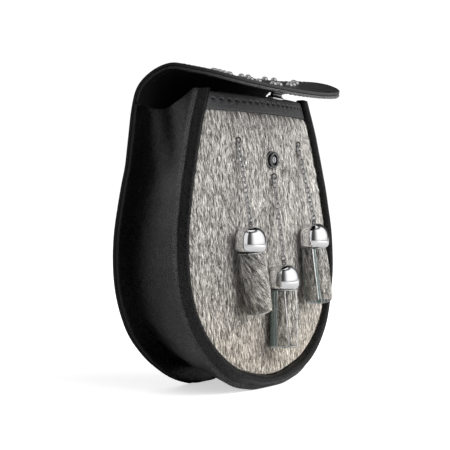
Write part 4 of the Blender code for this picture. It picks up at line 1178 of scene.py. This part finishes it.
def lamp():
    """Wide soft light from the front that lights the hair but does not show in the polished metal."""
    data = bpy.data.lights.new("soft_lamp", "AREA")
    data.shape = "RECTANGLE"
    data.size, data.size_y = LAMP_SIZE
    data.energy = LAMP_POWER
    made = in_scene("soft_lamp", data)
    turned(made, LAMP_AT, -Vector(LAMP_AT))
    made.visible_glossy = False
    made.visible_camera = False


def camera():
    data = bpy.data.cameras.new("camera")
    data.lens, data.sensor_width = CAMERA_LENS
    made = in_scene("camera", data)
    turned(made, CAMERA_AT, CAMERA_AHEAD)
    bpy.context.scene.camera = made


def build():
    camera()
    world_light()
    lamp()
    floor()
    bpy.context.scene.view_settings.view_transform = "Standard"

    smooth = leather("black_leather", 0.0014, 0.22, 0.34, 0.10, 1.04)
    rim = leather("rim_leather", 0.0014, 0.30, 0.42, 0.09, 0.55)
    band = leather("binding_leather", 0.040, 0.26, 0.40)
    # the last number of an edge is the tone of its painted shade at the flap's bend
    raw = cut_edge("leather_edge", 0.045, 0.008)
    ragged = cut_edge("torn_edge", 0.11, 0.018)
    dark = cut_edge("painted_edge", 0.012)
    flesh = suede("lining_leather", 0.006)
    stitch = thread("black_thread", 0.004)
    nickel = plated("nickel", (0.78, 0.78, 0.79), 0.05, 0.10)
    links = plated("link_metal", (0.46, 0.46, 0.465), 0.04, 0.08)
    gunmetal = plated("gunmetal", (0.17, 0.17, 0.175), 0.08, 0.14)
    chrome = plated("chrome", (0.86, 0.86, 0.87), 0.035, 0.07, 0.02)
    under = hide_under_fur("fur_roots", (0.05, 0.045, 0.04), (0.30, 0.28, 0.26))
    coat = hair_coat("grey_fur", (0.0, (0.06, 0.054, 0.048)), (0.35, (0.30, 0.285, 0.265)),
                     (0.62, (0.62, 0.595, 0.56)), (1.0, (0.92, 0.895, 0.855)))
    fibre = hair_coat("suede_fibres", (0.0, (0.01, 0.01, 0.01)), (0.7, (0.06, 0.06, 0.06)), (1.0, (0.20, 0.20, 0.20)))
    hide_cut = cut_edge("hide_edge", 0.55)
    skin = hide_under_fur("tassel_roots", (0.035, 0.033, 0.03), (0.17, 0.165, 0.15))
    teal_flesh = suede("teal_hide", 0.24, (0.84, 1.06, 1.0))
    # the pale cut edge: pale hide, made brighter than the other cut edges as a painted highlight
    lip = cut_edge("pale_edge_highlight", 0.85)
    tuft = hair_coat("tassel_hair", (0.0, (0.045, 0.042, 0.038)), (0.35, (0.20, 0.195, 0.18)),
                     (0.65, (0.50, 0.485, 0.455)), (1.0, (0.92, 0.90, 0.86)))

    back_and_flap([smooth, raw, flesh])
    flap_lining([flesh, ragged, flesh])
    gusset([smooth, dark, flesh, rim])
    fur_hide([under, under, flesh])
    mouth_binding([band, raw, flesh], stitch)
    strap_loop([smooth, raw, flesh], stitch)
    edge_stitches("back_stitches", stitch, "black_leather", 0.0, 1.0, 2.0)
    lining_face = BACK_LEATHER + LAYER_GAP + LINING_LEATHER
    edge_stitches("lining_stitches", stitch, "lining_leather", lining_face, -1.0, LINING_SEEN)
    snap_parts(gunmetal, nickel)
    flap_studs(links)
    hangers(links, gunmetal, chrome, (skin, hide_cut, teal_flesh, lip), tuft)
    front_hair("fur_under_hair", coat, 21, 30000, 0.46, 4.6, 0.12)
    front_hair("fur_hair_a", coat, 22, 66000, 0.25, 4.6, 0.0)
    front_hair("fur_hair_b", coat, 23, 66000, 0.22, 5.0, 0.0)
    flap_fuzz(fibre)


build()
